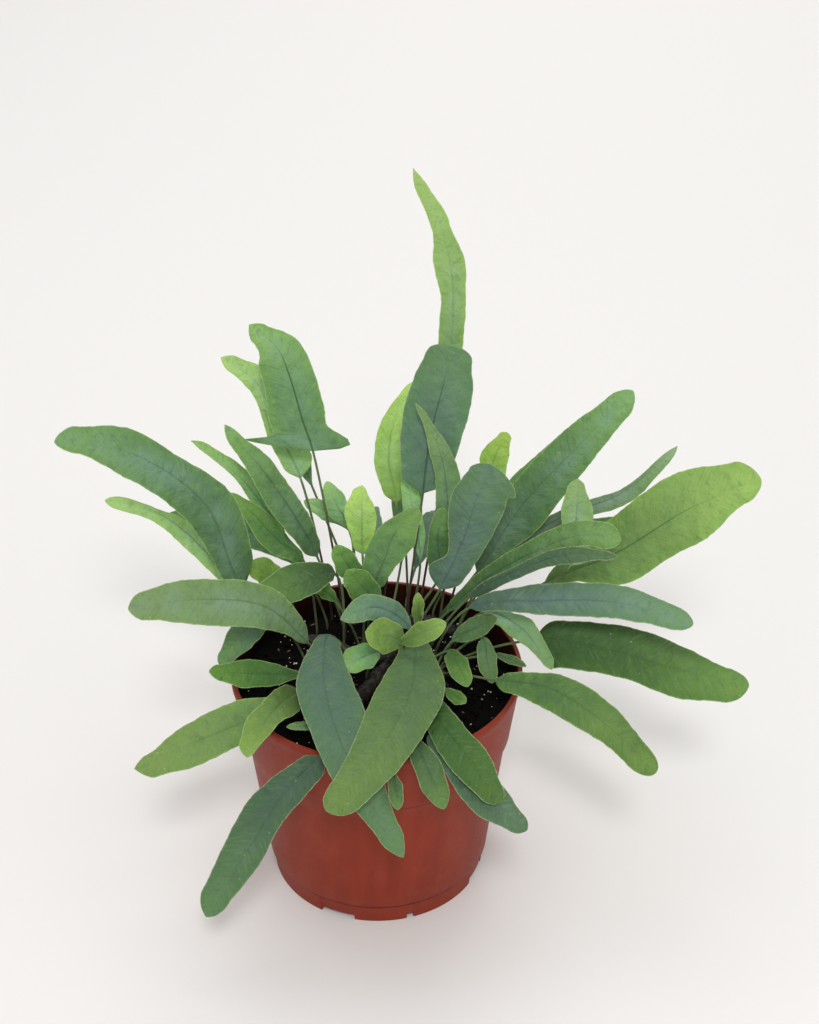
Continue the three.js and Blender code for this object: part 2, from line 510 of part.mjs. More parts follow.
const group = new THREE.Group();
const holes = sockets();
group.add(toMesh(potBody(), 'pot', plastic('#8a3f2f', 0.45)));
group.add(toMesh(soilBody().subtract(rhizomeBody(GAP)).subtract(holes), 'soil', plastic('#1f1714', 0.95)));
group.add(toMesh(rhizomeBody(0).subtract(holes), 'rhizome', plastic('#8a6a3c', 0.8)));
for (const [name, rows] of Object.entries(FRONDS)) {
  group.add(toMesh(frondNode(rows), name, plastic(TINTS[rows[0][4].tint], 0.55)));
}

export default group;
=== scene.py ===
"""Potted blue star fern in a round plastic nursery pot.

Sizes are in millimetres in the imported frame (+Z up, front towards -Y) and become metres when a mesh
is made. Every frond is a wiry stipe and a strap-shaped blade carried along one smooth midrib curve.
"""
import logging
import math
from dataclasses import dataclass, field
from enum import Enum

import bpy
import numpy as np
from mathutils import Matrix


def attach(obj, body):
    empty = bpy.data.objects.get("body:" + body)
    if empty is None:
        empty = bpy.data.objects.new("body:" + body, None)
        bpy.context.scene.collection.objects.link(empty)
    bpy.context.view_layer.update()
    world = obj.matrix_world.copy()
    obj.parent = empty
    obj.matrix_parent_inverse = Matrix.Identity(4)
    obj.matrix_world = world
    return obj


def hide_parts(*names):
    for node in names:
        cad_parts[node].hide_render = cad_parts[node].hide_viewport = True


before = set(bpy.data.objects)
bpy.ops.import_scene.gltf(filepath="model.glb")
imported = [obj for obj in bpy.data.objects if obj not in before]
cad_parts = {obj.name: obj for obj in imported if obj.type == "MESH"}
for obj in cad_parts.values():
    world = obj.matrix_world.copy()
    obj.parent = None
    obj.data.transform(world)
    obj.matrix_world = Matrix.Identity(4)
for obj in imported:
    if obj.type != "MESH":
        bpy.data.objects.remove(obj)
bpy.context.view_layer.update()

MM = 0.001
BODY = "root"
log = logging.getLogger("fern")


class Tint(Enum):
    """Leaf colour group of a frond; the value is its material slot."""

    BLUE = "leaf_blue"
    GREY = "leaf_grey"
    GREEN = "leaf_green"
    LIGHT = "leaf_light"
    YELLOW = "leaf_yellow"


class Node(Enum):
    """Shader nodes that the finishes use: the kind of node and its settings."""

    COORDS = ("TexCoord", {})
    MARK = ("Attribute", {})
    MAPPING = ("Mapping", {})
    SPLIT = ("SeparateXYZ", {})
    JOIN = ("CombineXYZ", {})
    DOT = ("VectorMath", {"operation": "DOT_PRODUCT"})
    NOISE = ("TexNoise", {})
    CELLS = ("TexVoronoi", {})
    EASE = ("MapRange", {"interpolation_type": "SMOOTHSTEP"})
    LAYER = ("Mix", {"data_type": "RGBA"})
    TINT = ("Mix", {"data_type": "RGBA", "blend_type": "MULTIPLY"})
    PLUS = ("Math", {"operation": "ADD"})
    MINUS = ("Math", {"operation": "SUBTRACT"})
    TIMES = ("Math", {"operation": "MULTIPLY"})
    TIMES_CLAMPED = ("Math", {"operation": "MULTIPLY", "use_clamp": True})
    TIMES_PLUS = ("Math", {"operation": "MULTIPLY_ADD"})
    OVER = ("Math", {"operation": "DIVIDE"})
    POWER = ("Math", {"operation": "POWER"})
    ABSOLUTE = ("Math", {"operation": "ABSOLUTE"})
    SIGN = ("Math", {"operation": "SIGN"})
    BUMP = ("Bump", {})


# Helpers

def srgb(code: str) -> tuple[float, float, float, float]:
    """Turn a colour written as sRGB hex into linear light.

    Args:
        code: six hex digits after a hash sign.

    Returns:
        Linear red, green, blue and an alpha of one.
    """
    parts = [int(code[i:i + 2], 16) / 255 for i in (1, 3, 5)]
    linear = [c / 12.92 if c <= 0.04045 else ((c + 0.055) / 1.055) ** 2.4 for c in parts]
    return (*linear, 1.0)


def pattern_scale(size_mm: float) -> float:
    """Scale at which a pattern on Object coordinates, in metres, has patches size_mm wide."""
    return 1 / (size_mm * MM)


def smooth(x: np.ndarray, low: float, high: float) -> np.ndarray:
    """Ease from 0 at low to 1 at high: 3q squared minus 2q cubed of the clipped share q."""
    q = np.clip((np.asarray(x, float) - low) / (high - low), 0, 1)
    return q * q * (3 - 2 * q)


def waves(x: np.ndarray, length: float, seed: float | np.ndarray, count: int = 4) -> np.ndarray:
    """Irregular wave along a line: a sum of sines whose lengths shrink by an uneven ratio.

    Args:
        x: places along the line.
        length: longest wavelength, in the unit of x.
        seed: shifts the phases.
        count: how many sines are added.

    Returns:
        Values between about -1 and 1.
    """
    total = np.zeros_like(np.asarray(x, float))
    for i in range(count):
        turn = 2 * math.pi * (x / length * 1.63 ** i + np.sin(seed * 12.9 + i * 4.1) * 3)
        total = total + np.sin(turn) / 1.35 ** i
    return total / 2.4


def circle(count: int) -> np.ndarray:
    """Angles of evenly spaced points round a circle, in radians."""
    return np.linspace(0, 2 * np.pi, count, endpoint=False)


@dataclass
class Patch:
    """Part of a mesh: places in mm, its faces of four and of three, and numbers kept on its points."""

    points: np.ndarray
    quads: np.ndarray
    tris: np.ndarray
    marks: dict[str, np.ndarray] = field(default_factory=dict)

    def faces(self, start: int) -> list[list[int]]:
        """Faces as lists of point numbers counted from start."""
        return (self.quads + start).tolist() + (self.tris + start).tolist()


def tube(rings: np.ndarray, marks: dict[str, np.ndarray] | None = None) -> Patch:
    """Close a stack of rings into one skin, with a fan round a middle point at each end.

    Args:
        rings: places, shape rows by points by 3.
        marks: numbers for the rings' points, shape rows by points (by 3).

    Returns:
        The closed patch, right side out.
    """
    rows, cols = rings.shape[:2]
    count, top = rows * cols, (rows - 1) * cols
    points = np.concatenate([rings.reshape(-1, 3), rings[0].mean(0)[None], rings[-1].mean(0)[None]])
    k = np.arange(cols)
    j = (k + 1) % cols
    row = np.arange(rows - 1)[:, None] * cols
    quads = np.stack([row + k, row + j, row + j + cols, row + k + cols], -1).reshape(-1, 4)
    fans = np.stack([np.stack([0 * k + count, j, k], -1),
                     np.stack([0 * k + count + 1, top + k, top + j], -1)], 1).reshape(-1, 3)
    kept = {}
    for name, values in (marks or {}).items():
        flat = values.reshape(count, -1)
        kept[name] = np.concatenate([flat, flat[:cols].mean(0)[None], flat[-cols:].mean(0)[None]])
    return outward(Patch(points, quads, fans, kept))


def outward(patch: Patch) -> Patch:
    """Turn a closed patch right side out, by the sign of the volume under its faces.

    Args:
        patch: the patch, whose faces all point the same way.

    Returns:
        The patch, its faces reversed where the volume was negative.
    """
    p, volume = patch.points, 0.0
    for f in (patch.quads, patch.tris):
        for k in range(1, f.shape[1] - 1):
            volume += np.einsum("ij,ij->", p[f[:, 0]], np.cross(p[f[:, k]], p[f[:, k + 1]]))
    if volume < 0:
        patch.quads, patch.tris = patch.quads[:, ::-1], patch.tris[:, ::-1]
    return patch


def solid(name: str, patches: list[Patch]) -> bpy.types.Object:
    """Put patches into one mesh object, in metres.

    Args:
        name: name of the object.
        patches: its parts, in mm.

    Returns:
        The object, linked to the scene.
    """
    starts = np.cumsum([0] + [len(p.points) for p in patches[:-1]])
    faces = [face for p, start in zip(patches, starts) for face in p.faces(start)]
    mesh = bpy.data.meshes.new(name)
    mesh.from_pydata((np.concatenate([p.points for p in patches]) * MM).tolist(), [], faces)
    obj = bpy.data.objects.new(name, mesh)
    bpy.context.scene.collection.objects.link(obj)
    return obj


def piece(name: str, patches: list[Patch], material: bpy.types.Material,
          replaces: tuple[str, ...] = (), sharp: float = 80) -> bpy.types.Object:
    """Make one object of several patches, dress it and hand it to the frame.

    Args:
        name: name of the piece.
        patches: its parts, in mm.
        material: its finish.
        replaces: CAD nodes that it stands for.
        sharp: edges with a larger turn than this, in degrees, stay crisp.

    Returns:
        The object.
    """
    obj = solid(name, patches)
    mesh = obj.data
    for mark in patches[0].marks:
        data = np.concatenate([p.marks[mark] for p in patches]).astype(np.float32)
        kind, key = ("FLOAT_VECTOR", "vector") if data.shape[1] == 3 else ("FLOAT", "value")
        mesh.attributes.new(mark, kind, "POINT").data.foreach_set(key, data.ravel())
    mesh.polygons.foreach_set("use_smooth", [True] * len(mesh.polygons))
    mesh.set_sharp_from_angle(angle=math.radians(sharp))
    mesh.materials.append(material)
    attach(obj, BODY)
    if replaces:
        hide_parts(*replaces)
    log.info("%s: %d faces", name, len(mesh.polygons))
    return obj


class Shader:
    """A procedural material under way, round one principled shader."""

    def __init__(self, name: str) -> None:
        """Start the material.

        Args:
            name: the real material's name.
        """
        self.material = bpy.data.materials.new(name)
        self.material.use_nodes = True
        self.tree = self.material.node_tree
        self.bsdf = self.tree.nodes["Principled BSDF"]

    def feed(self, socket: bpy.types.NodeSocket, value: object) -> None:
        """Give an input socket its link or its value.

        Args:
            socket: the input.
            value: an output socket, a number, a vector, or a colour as sRGB hex.
        """
        if isinstance(value, bpy.types.NodeSocket):
            self.tree.links.new(value, socket)
        else:
            socket.default_value = srgb(value) if isinstance(value, str) else value

    def add(self, recipe: Node, *inputs: object, out: str = "", **named: object
            ) -> bpy.types.NodeSocket:
        """Add one node with its settings and links.

        Args:
            recipe: which node.
            inputs: what goes into the sockets in use, in their order.
            out: name of the output wanted, where it isn't the first one in use.
            named: further settings by name, and sockets by theirs.

        Returns:
            The output socket.
        """
        kind, settings = recipe.value
        node = self.tree.nodes.new("ShaderNode" + kind)
        for key, value in settings.items():
            setattr(node, key, value)
        for socket, value in zip([i for i in node.inputs if i.enabled], inputs):
            self.feed(socket, value)
        for key, value in named.items():
            if key in node.inputs:
                self.feed(node.inputs[key], value)
            else:
                setattr(node, key, value)
        return node.outputs[out] if out else next(o for o in node.outputs if o.enabled)

    def finish(self, **sockets: object) -> bpy.types.Material:
        """Fill the principled shader's sockets.

        Args:
            sockets: links and values by the socket's name, with underscores for its spaces.

        Returns:
            The material.
        """
        for key, value in sockets.items():
            self.feed(self.bsdf.inputs[key.replace("_", " ")], value)
        return self.material


# Finishes

@dataclass(frozen=True)
class MouldedPolypropylene:
    """Injection-moulded terracotta polypropylene: satin, faintly streaked, dusty in patches.

    Lines are the heights of the joint lines that the mould leaves just under its ledges, in mm;
    the dark band at each is dirt in the joint and painted shade under the ledge.
    """

    lines: tuple[float, ...]
    body: str = "#8c3420"
    flow: str = "#842f1d"
    dust: str = "#964c3b"
    ledge_shade_and_dirt: str = "#3a1712"
    # Near-black painted shade for the inside wall, and the heights over which it fades
    inner_wall_shade: str = "#1d120d"
    inner_wall_shade_z: tuple[float, float] = (93, 101)
    streak_mm: float = 7
    dust_mm: float = 9
    grain_mm: float = 1.1

    def material(self) -> bpy.types.Material:
        """Build the finish.

        Returns:
            The material.
        """
        s = Shader("moulded polypropylene")
        place = s.add(Node.COORDS, out="Object")
        height = s.add(Node.SPLIT, place, out="Z")
        drawn = s.add(Node.MAPPING, place, Scale=(1, 1, 0.12))
        streaks = s.add(Node.NOISE, drawn, pattern_scale(self.streak_mm), 3)
        colour = s.add(Node.LAYER, s.add(Node.EASE, streaks, 0.35, 0.7), self.body, self.flow)
        dusty = s.add(Node.EASE, s.add(Node.NOISE, place, pattern_scale(self.dust_mm), 5), 0.45, 0.75)
        colour = s.add(Node.LAYER, s.add(Node.TIMES, dusty, 0.2), colour, self.dust)
        # Dark band at each joint line: dirt in the joint, and painted shade under the ledge above it
        for z in self.lines:
            away = s.add(Node.ABSOLUTE, s.add(Node.MINUS, height, z * MM))
            near = s.add(Node.EASE, away, 0.3 * MM, 0.75 * MM, 0.75, 0)
            colour = s.add(Node.LAYER, near, colour, self.ledge_shade_and_dirt)
        # Painted shade: the inside wall above the soil is darkened where the fronds shade it, most near
        # the soil
        level = s.add(Node.MAPPING, place, Scale=(1, 1, 0))
        inward = s.add(Node.DOT, s.add(Node.COORDS, out="Normal"), level)
        low, high = (z * MM for z in self.inner_wall_shade_z)
        inner_wall_shade = s.add(Node.TIMES, s.add(Node.EASE, inward, -0.02, 0.0, 1, 0),
                      s.add(Node.EASE, height, low, high, 0.95, 0.82))
        colour = s.add(Node.LAYER, inner_wall_shade, colour, self.inner_wall_shade)
        # Moulding grain is finer than a pixel, so it is drawn about 1 mm wide
        grain = s.add(Node.NOISE, place, pattern_scale(self.grain_mm), 2)
        return s.finish(Base_Color=colour, Roughness=s.add(Node.EASE, grain, 0.3, 0.7, 0.46, 0.54),
                        IOR=1.49, Specular_IOR_Level=0.18,
                        Normal=s.add(Node.BUMP, Height=grain, Distance=0.01 * MM))


@dataclass(frozen=True)
class EarthyMatter:
    """Dull matter with one fine pattern, which blends its two colours and raises its surface."""

    name: str
    first: str
    second: str
    blend: tuple[float, float]
    grain_mm: float
    relief_mm: float
    roughness: float
    detail: float = 4
    harshness: float = 0.5
    stretch: tuple[float, float, float] = (1, 1, 1)
    specular: float = 0.5

    def material(self) -> bpy.types.Material:
        """Build the finish.

        Returns:
            The material.
        """
        s = Shader(self.name)
        place = s.add(Node.MAPPING, s.add(Node.COORDS, out="Object"), Scale=self.stretch)
        grain = s.add(Node.NOISE, place, pattern_scale(self.grain_mm), self.detail, self.harshness)
        colour = s.add(Node.LAYER, s.add(Node.EASE, grain, *self.blend), self.first, self.second)
        return s.finish(Base_Color=colour, Roughness=self.roughness, Specular_IOR_Level=self.specular,
                        Normal=s.add(Node.BUMP, Height=grain, Distance=self.relief_mm * MM))


# Damp peat: nearly black, fibrous and crumbly, with no shine
PEAT = EarthyMatter("peat compost", "#050404", "#130d09", (0.42, 0.75), 1.4, 0.5, 0.95, 6, 0.7,
                    specular=0.1)
# Expanded volcanic glass: chalky white porous grains, soiled by the peat
PERLITE = EarthyMatter("expanded perlite", "#e6e0d4", "#8d8272", (0.45, 0.7), 1.2, 0.2, 0.85)
# Split composted bark: tan to brown fibrous slivers, dry and dull
BARK = EarthyMatter("composted bark", "#8a6b48", "#3c2819", (0.4, 0.65), 1.5, 0.3, 0.85,
                    stretch=(1, 0.3, 1))
# Papery scales on a creeping rhizome: dull brown, darkened nearly to black, fibrous
SCALES = EarthyMatter("rhizome scales", "#271e13", "#140e09", (0.4, 0.62), 1.1, 0.25, 0.62)


@dataclass(frozen=True)
class FrondSkin:
    """Living fern blade: matte under a waxy blue bloom, feather-veined, pale along its margin.

    Sizes in mm are those of its patterns: cloudy patches, mottles, fine specks, veins and the
    soft relief; real specks and veins are finer, and are drawn as wide as the picture can show.
    The stipe turns from stalk to stalk_green on its way up.
    """

    name: str
    heart: str
    flank: str
    tip: str
    bloom: str
    rib: str = "#3c5c4e"
    margin: str = "#b4c08f"
    under: str = "#86a07a"
    stalk: str = "#4a3a2c"
    stalk_green: str = "#687a52"
    aged: str = "#a3b83c"
    lush: str = "#468024"
    vein: str = "#86a66a"
    patch_mm: float = 14
    mottle_mm: float = 3.2
    speck_mm: float = 0.9
    vein_mm: float = 1.3
    relief_mm: float = 6
    scars_per_mm: float = 0.13

    def material(self) -> bpy.types.Material:
        """Build the finish from the marks blade (across, along, inside the margin, all mm), share
        (0 midrib to 1 margin, 0 neck to 1 tip, number of the frond), below (1 on the underside),
        tone (light, bloom, hue) and rib (how dark the midrib is).

        Returns:
            The material.
        """
        s = Shader(self.name)
        blade, share, tone = (s.add(Node.MARK, attribute_name=mark, out="Vector")
                              for mark in ("blade", "share", "tone"))
        below, darkness = (s.add(Node.MARK, attribute_name=mark, out="Fac") for mark in ("below", "rib"))
        across, along, inside = s.add(Node.SPLIT, blade).node.outputs
        lightness_and_painted_shade, bloom, hue = s.add(Node.SPLIT, tone).node.outputs
        out, up, seed = s.add(Node.SPLIT, share).node.outputs
        # The marks are in mm, and each frond reads its own slice of the patterns
        flat = s.add(Node.JOIN, across, along, s.add(Node.TIMES, seed, 37.0))
        patches = s.add(Node.NOISE, flat, 1 / self.patch_mm, 3)
        mottle = s.add(Node.NOISE, flat, 1 / self.mottle_mm, 4)
        fine = s.add(Node.NOISE, flat, 1 / self.speck_mm, 3)

        # Base to tip, then midrib to margin
        uneven = s.add(Node.TIMES, s.add(Node.MINUS, patches, 0.5), 0.5)
        rise = s.add(Node.EASE, s.add(Node.PLUS, up, uneven), 0.3, 1.02)
        colour = s.add(Node.LAYER, rise, self.heart, self.tip)
        ragged = s.add(Node.PLUS, out, s.add(Node.MINUS, mottle, 0.5))
        colour = s.add(Node.LAYER, s.add(Node.EASE, ragged, 0.35, 1.1, 0, 0.75), colour, self.flank)

        # Bloom lies thick along the midrib and thin near the margin
        waxy = s.add(Node.TIMES, s.add(Node.EASE, patches, 0.35, 0.68, 0.35, 1.0), bloom)
        edge = s.add(Node.EASE, s.add(Node.PLUS, out, patches), 0.6, 1.5, 1.25, 0.5)
        colour = s.add(Node.LAYER, s.add(Node.TIMES, waxy, edge), colour, self.bloom)

        # Hue above 0 is an ageing yellow in clouds, below 0 a lush green
        cloudy = s.add(Node.EASE, patches, 0.3, 0.6, 0.5, 1.0)
        colour = s.add(Node.LAYER, s.add(Node.TIMES_CLAMPED, cloudy, hue), colour, self.aged)
        colour = s.add(Node.LAYER, s.add(Node.TIMES_CLAMPED, hue, -1.0), colour, self.lush)
        for pattern, low, high, start, end, tint in (
                (mottle, 0.5, 0.75, 0, 0.35, self.tip), (mottle, 0.24, 0.47, 0.35, 0, self.rib),
                (fine, 0.55, 0.7, 0, 0.2, self.bloom), (fine, 0.3, 0.45, 0.3, 0, self.rib)):
            colour = s.add(Node.LAYER, s.add(Node.EASE, pattern, low, high, start, end), colour, tint)
        # Lightness from the tone mark: partly the blade's own tone, partly painted light and shade set
        # for each frond
        colour = s.add(Node.TINT, 1.0, colour, lightness_and_painted_shade)

        # Side veins leave the midrib at a slant and bend towards the tip, here and there
        reach = s.add(Node.ABSOLUTE, across)
        bent = s.add(Node.TIMES, s.add(Node.POWER, reach, 1.12), 0.62)
        half = s.add(Node.TIMES_PLUS, s.add(Node.SIGN, across), 3.0, seed)
        lane = s.add(Node.JOIN, s.add(Node.MINUS, along, bent), s.add(Node.TIMES, across, 0.22), half)
        streak = s.add(Node.NOISE, lane, 1 / self.vein_mm, 3, 0.6)
        shown = s.add(Node.EASE, patches, 0.3, 0.7, 0.08, 0.28)
        veined = s.add(Node.TIMES, s.add(Node.EASE, streak, 0.48, 0.75), shown)
        colour = s.add(Node.LAYER, veined, colour, self.vein)
        colour = s.add(Node.LAYER, s.add(Node.EASE, streak, 0.26, 0.46, 0.36, 0.0), colour, self.rib)

        # Midrib, sharp at the base and fading before the tip
        width = s.add(Node.EASE, up, 0.0, 0.9, 0.55, 0.22)
        groove = s.add(Node.EASE, s.add(Node.OVER, reach, width), 0.35, 1.25)
        groove = s.add(Node.TIMES, s.add(Node.MINUS, 1.0, groove),
                       s.add(Node.EASE, up, 0.45, 0.92, 1.0, 0.0))
        colour = s.add(Node.LAYER, s.add(Node.TIMES, groove, darkness), colour, self.rib)

        # Pale brittle margin, broken into dots, and a few pale scars on the blade
        dots = s.add(Node.EASE, fine, 0.35, 0.6, 0.35, 1.0)
        rim = s.add(Node.TIMES, s.add(Node.EASE, inside, 0.1, 0.45, 0.62, 0.0), dots)
        rim = s.add(Node.TIMES, rim, s.add(Node.EASE, up, -0.02, 0.12))
        colour = s.add(Node.LAYER, rim, colour, self.margin)
        scars = s.add(Node.CELLS, flat, self.scars_per_mm)
        colour = s.add(Node.LAYER, s.add(Node.EASE, scars, 0.035, 0.07, 0.35, 0.0), colour, self.margin)

        # Paler underside, and the stipe
        colour = s.add(Node.LAYER, s.add(Node.TIMES, below, 0.6), colour, self.under)
        climb = s.add(Node.PLUS, along, s.add(Node.TIMES, patches, 30.0))
        woody = s.add(Node.LAYER, s.add(Node.EASE, climb, -45, 6), self.stalk, self.stalk_green)
        colour = s.add(Node.LAYER, s.add(Node.EASE, along, -5.0, 3.0, 1.0, 0.0), colour, woody)

        relief = s.add(Node.BUMP, Height=s.add(Node.NOISE, flat, 1 / self.relief_mm, 2),
                       Distance=1.1 * MM)
        for pattern, depth_mm in ((streak, -0.3), (groove, -0.12), (fine, 0.12)):
            relief = s.add(Node.BUMP, Height=pattern, Distance=depth_mm * MM, Normal=relief)
        return s.finish(Base_Color=colour, Roughness=s.add(Node.EASE, mottle, 0.3, 0.7, 0.5, 0.66),
                        IOR=1.45, Subsurface_Weight=0.25, Subsurface_Radius=(0.5, 1.0, 0.18),
                        Subsurface_Scale=1.2 * MM, Sheen_Weight=0.06, Sheen_Roughness=0.4,
                        Specular_IOR_Level=0.3, Normal=relief)


SKINS = {
    Tint.BLUE: FrondSkin("bloomed blue blade", heart="#54725a", flank="#557a4c", tip="#648850",
                         bloom="#6c8782", margin="#b4b08e", rib="#45634f"),
    Tint.GREY: FrondSkin("bloomed grey-green blade", heart="#5c7c52", flank="#5c7f42", tip="#6f8f4a",
                         bloom="#7c9284", margin="#b0b386", rib="#4a6546"),
    Tint.GREEN: FrondSkin("mid-green blade", heart="#4f7440", flank="#5a8038", tip="#75994a",
                          bloom="#6f9078", rib="#40643a"),
    Tint.LIGHT: FrondSkin("light green blade", heart="#789c58", flank="#83a652", tip="#96b560",
                          bloom="#8fae8c", rib="#557a48"),
    Tint.YELLOW: FrondSkin("young yellow-green blade", heart="#94bc58", flank="#a8cc5c",
                           tip="#b8d868", bloom="#a8c890", rib="#6d9148"),
}


# Pot

def degrees_off(angle: np.ndarray, azimuth: float) -> np.ndarray:
    """Turn from an azimuth to each angle, in degrees between -180 and 180."""
    return (angle - azimuth + 180) % 360 - 180


@dataclass
class NurseryPot:
    """Round nursery pot: skirted foot, tapering body, collar and lip, floor with drain holes.

    Notches in the foot are given by azimuth in degrees and width, gate marks by azimuth.
    """

    rim_r: float = 60
    rim_top: float = 101
    lip_h: float = 3
    lip_out: float = 0.8
    collar_z: float = 71.5
    collar_r: float = 55.7
    body_top_r: float = 54.2
    ring_z: float = 9.8
    ring_r: float = 46.8
    skirt_r: float = 46
    base_r: float = 44.8
    wall: float = 1.3
    floor_z: float = 3
    floor_t: float = 1.6
    pad_r: float = 12
    notches: tuple[tuple[float, float], ...] = ((-112, 15), (-72, 3), (-20, 15), (60, 15), (150, 15))
    notch_h: float = 2.6
    gate_marks: tuple[float, ...] = (-72.4, -63, -51, 20, 96, 171)
    gate_turn: float = 1.3
    gate_depth: float = 0.45
    drain_holes: int = 5
    drain_r: float = 4
    drain_ring_r: float = 30
    drain_sides: int = 24
    drill_z: tuple[float, float] = (1.5, 6.5)
    sides: int = 180

    def profile(self) -> np.ndarray:
        """Trace the wall from the pad's middle under the floor, up the outside, over the lip and
        down the inside to the middle of the floor.

        Returns:
            Radius and height of each point.
        """
        w, top, lip = self.wall, self.rim_top, self.lip_h
        collar_top_r = self.rim_r - self.lip_out
        floor_top = self.floor_z + self.floor_t
        r_floor = self.base_r + (self.skirt_r - self.base_r) * self.floor_z / self.ring_z
        return np.array([
            (self.pad_r - 0.4, 0), (self.pad_r, 0.4), (self.pad_r, self.floor_z),
            (r_floor - w, self.floor_z), (self.base_r - w, 0.25), (self.base_r - w + 0.25, 0),
            (self.base_r - 0.25, 0), (self.base_r, 0.25), (self.skirt_r - 0.3, self.ring_z - 2),
            (self.skirt_r, self.ring_z - 0.35), (self.skirt_r - 0.1, self.ring_z - 0.1),
            (self.ring_r - 0.15, self.ring_z + 0.15), (self.ring_r, self.ring_z + 0.5),
            (self.ring_r + 1.2, self.ring_z + 10.5), (self.body_top_r - 0.9, self.collar_z - 9),
            (self.body_top_r, self.collar_z - 0.7), (self.body_top_r + 0.25, self.collar_z - 0.35),
            (self.collar_r - 0.2, self.collar_z - 0.1), (self.collar_r, self.collar_z + 0.3),
            (self.collar_r + 0.5, self.collar_z + 4.3), (collar_top_r - 0.4, top - lip - 4),
            (collar_top_r, top - lip - 0.7), (collar_top_r + 0.15, top - lip - 0.3),
            (self.rim_r - 0.1, top - lip + 0.1), (self.rim_r, top - lip + 0.4),
            (self.rim_r, top - 0.6), (self.rim_r - 0.2, top - 0.2), (self.rim_r - 0.6, top),
            (collar_top_r - w + 0.4, top), (collar_top_r - w, top - 0.4),
            (collar_top_r - w, top - lip), (self.collar_r - w, self.collar_z + 1),
            (self.body_top_r - w, self.collar_z), (self.ring_r - w, self.ring_z + 1),
            (self.skirt_r - w - 0.4, floor_top + 0.3), (self.skirt_r - w - 1.2, floor_top),
            (self.pad_r, floor_top),
        ])

    def shell(self) -> Patch:
        """Carry the profile round the axis.

        The foot's lowest points rise inside each notch, with a close pair of angles at either end
        of it. A gate mark is a bell-shaped nick in the ledge over the skirt.

        Returns:
            The pot before it is drilled.
        """
        notches = [(at, math.degrees(math.asin(width / 2 / self.base_r))) for at, width in self.notches]
        cuts = [at + side * half + gap for at, half in notches for side in (-1, 1) for gap in (-0.1, 0.1)]
        angle = np.sort(np.array([*np.linspace(-180, 180, self.sides, endpoint=False), *cuts]))
        inside = np.any([np.abs(degrees_off(angle, at)) < half for at, half in notches], axis=0)
        nick = sum(np.exp(-(degrees_off(angle, at) / self.gate_turn) ** 2) for at in self.gate_marks)
        r, z = (values[:, None] for values in self.profile().T)
        foot = (r > self.base_r - self.wall - 1) & (z < self.ring_z - 1)
        lifted = np.where(foot, 1 - np.clip(z / self.ring_z, 0, 1), 0.0)
        ledge = np.exp(-((z - self.ring_z - 0.3) / 0.5) ** 2) * (r > self.skirt_r - 1)
        radius = r - self.gate_depth * ledge * nick
        a = np.radians(angle)
        return tube(np.stack([radius * np.cos(a), radius * np.sin(a),
                              z + lifted * np.where(inside, self.notch_h, 0.0)], -1))

    def build(self) -> bpy.types.Object:
        """Make the pot, dress it and drill its drain holes.

        Returns:
            The pot.
        """
        finish = MouldedPolypropylene((self.ring_z - 0.75, self.collar_z - 1.2)).material()
        pot = piece("nursery_pot", [self.shell()], finish, ("pot",), 30)
        a = circle(self.drain_sides)
        middles = [(self.drain_ring_r * math.cos(turn), self.drain_ring_r * math.sin(turn))
                   for turn in circle(self.drain_holes)]
        drill = solid("drill", [tube(np.array([
            np.stack([x + self.drain_r * np.cos(a), y + self.drain_r * np.sin(a), 0 * a + z], -1)
            for z in self.drill_z])) for x, y in middles])
        cut = pot.modifiers.new("drain holes", "BOOLEAN")
        cut.operation, cut.object, cut.solver = "DIFFERENCE", drill, "EXACT"
        graph = bpy.context.evaluated_depsgraph_get()
        drilled = bpy.data.meshes.new_from_object(pot.evaluated_get(graph))
        pot.modifiers.clear()
        pot.data = drilled
        bpy.data.objects.remove(drill)
        return pot


# Soil and rhizome

@dataclass(frozen=True)
class Litter:
    """Loose grains on the soil: their range of sizes, proportions and the share sunk into it."""

    name: str
    finish: EarthyMatter
    count: int
    size: tuple[float, float]
    stretch: tuple[float, float, float]
    sink: float
    sharp: float = 80


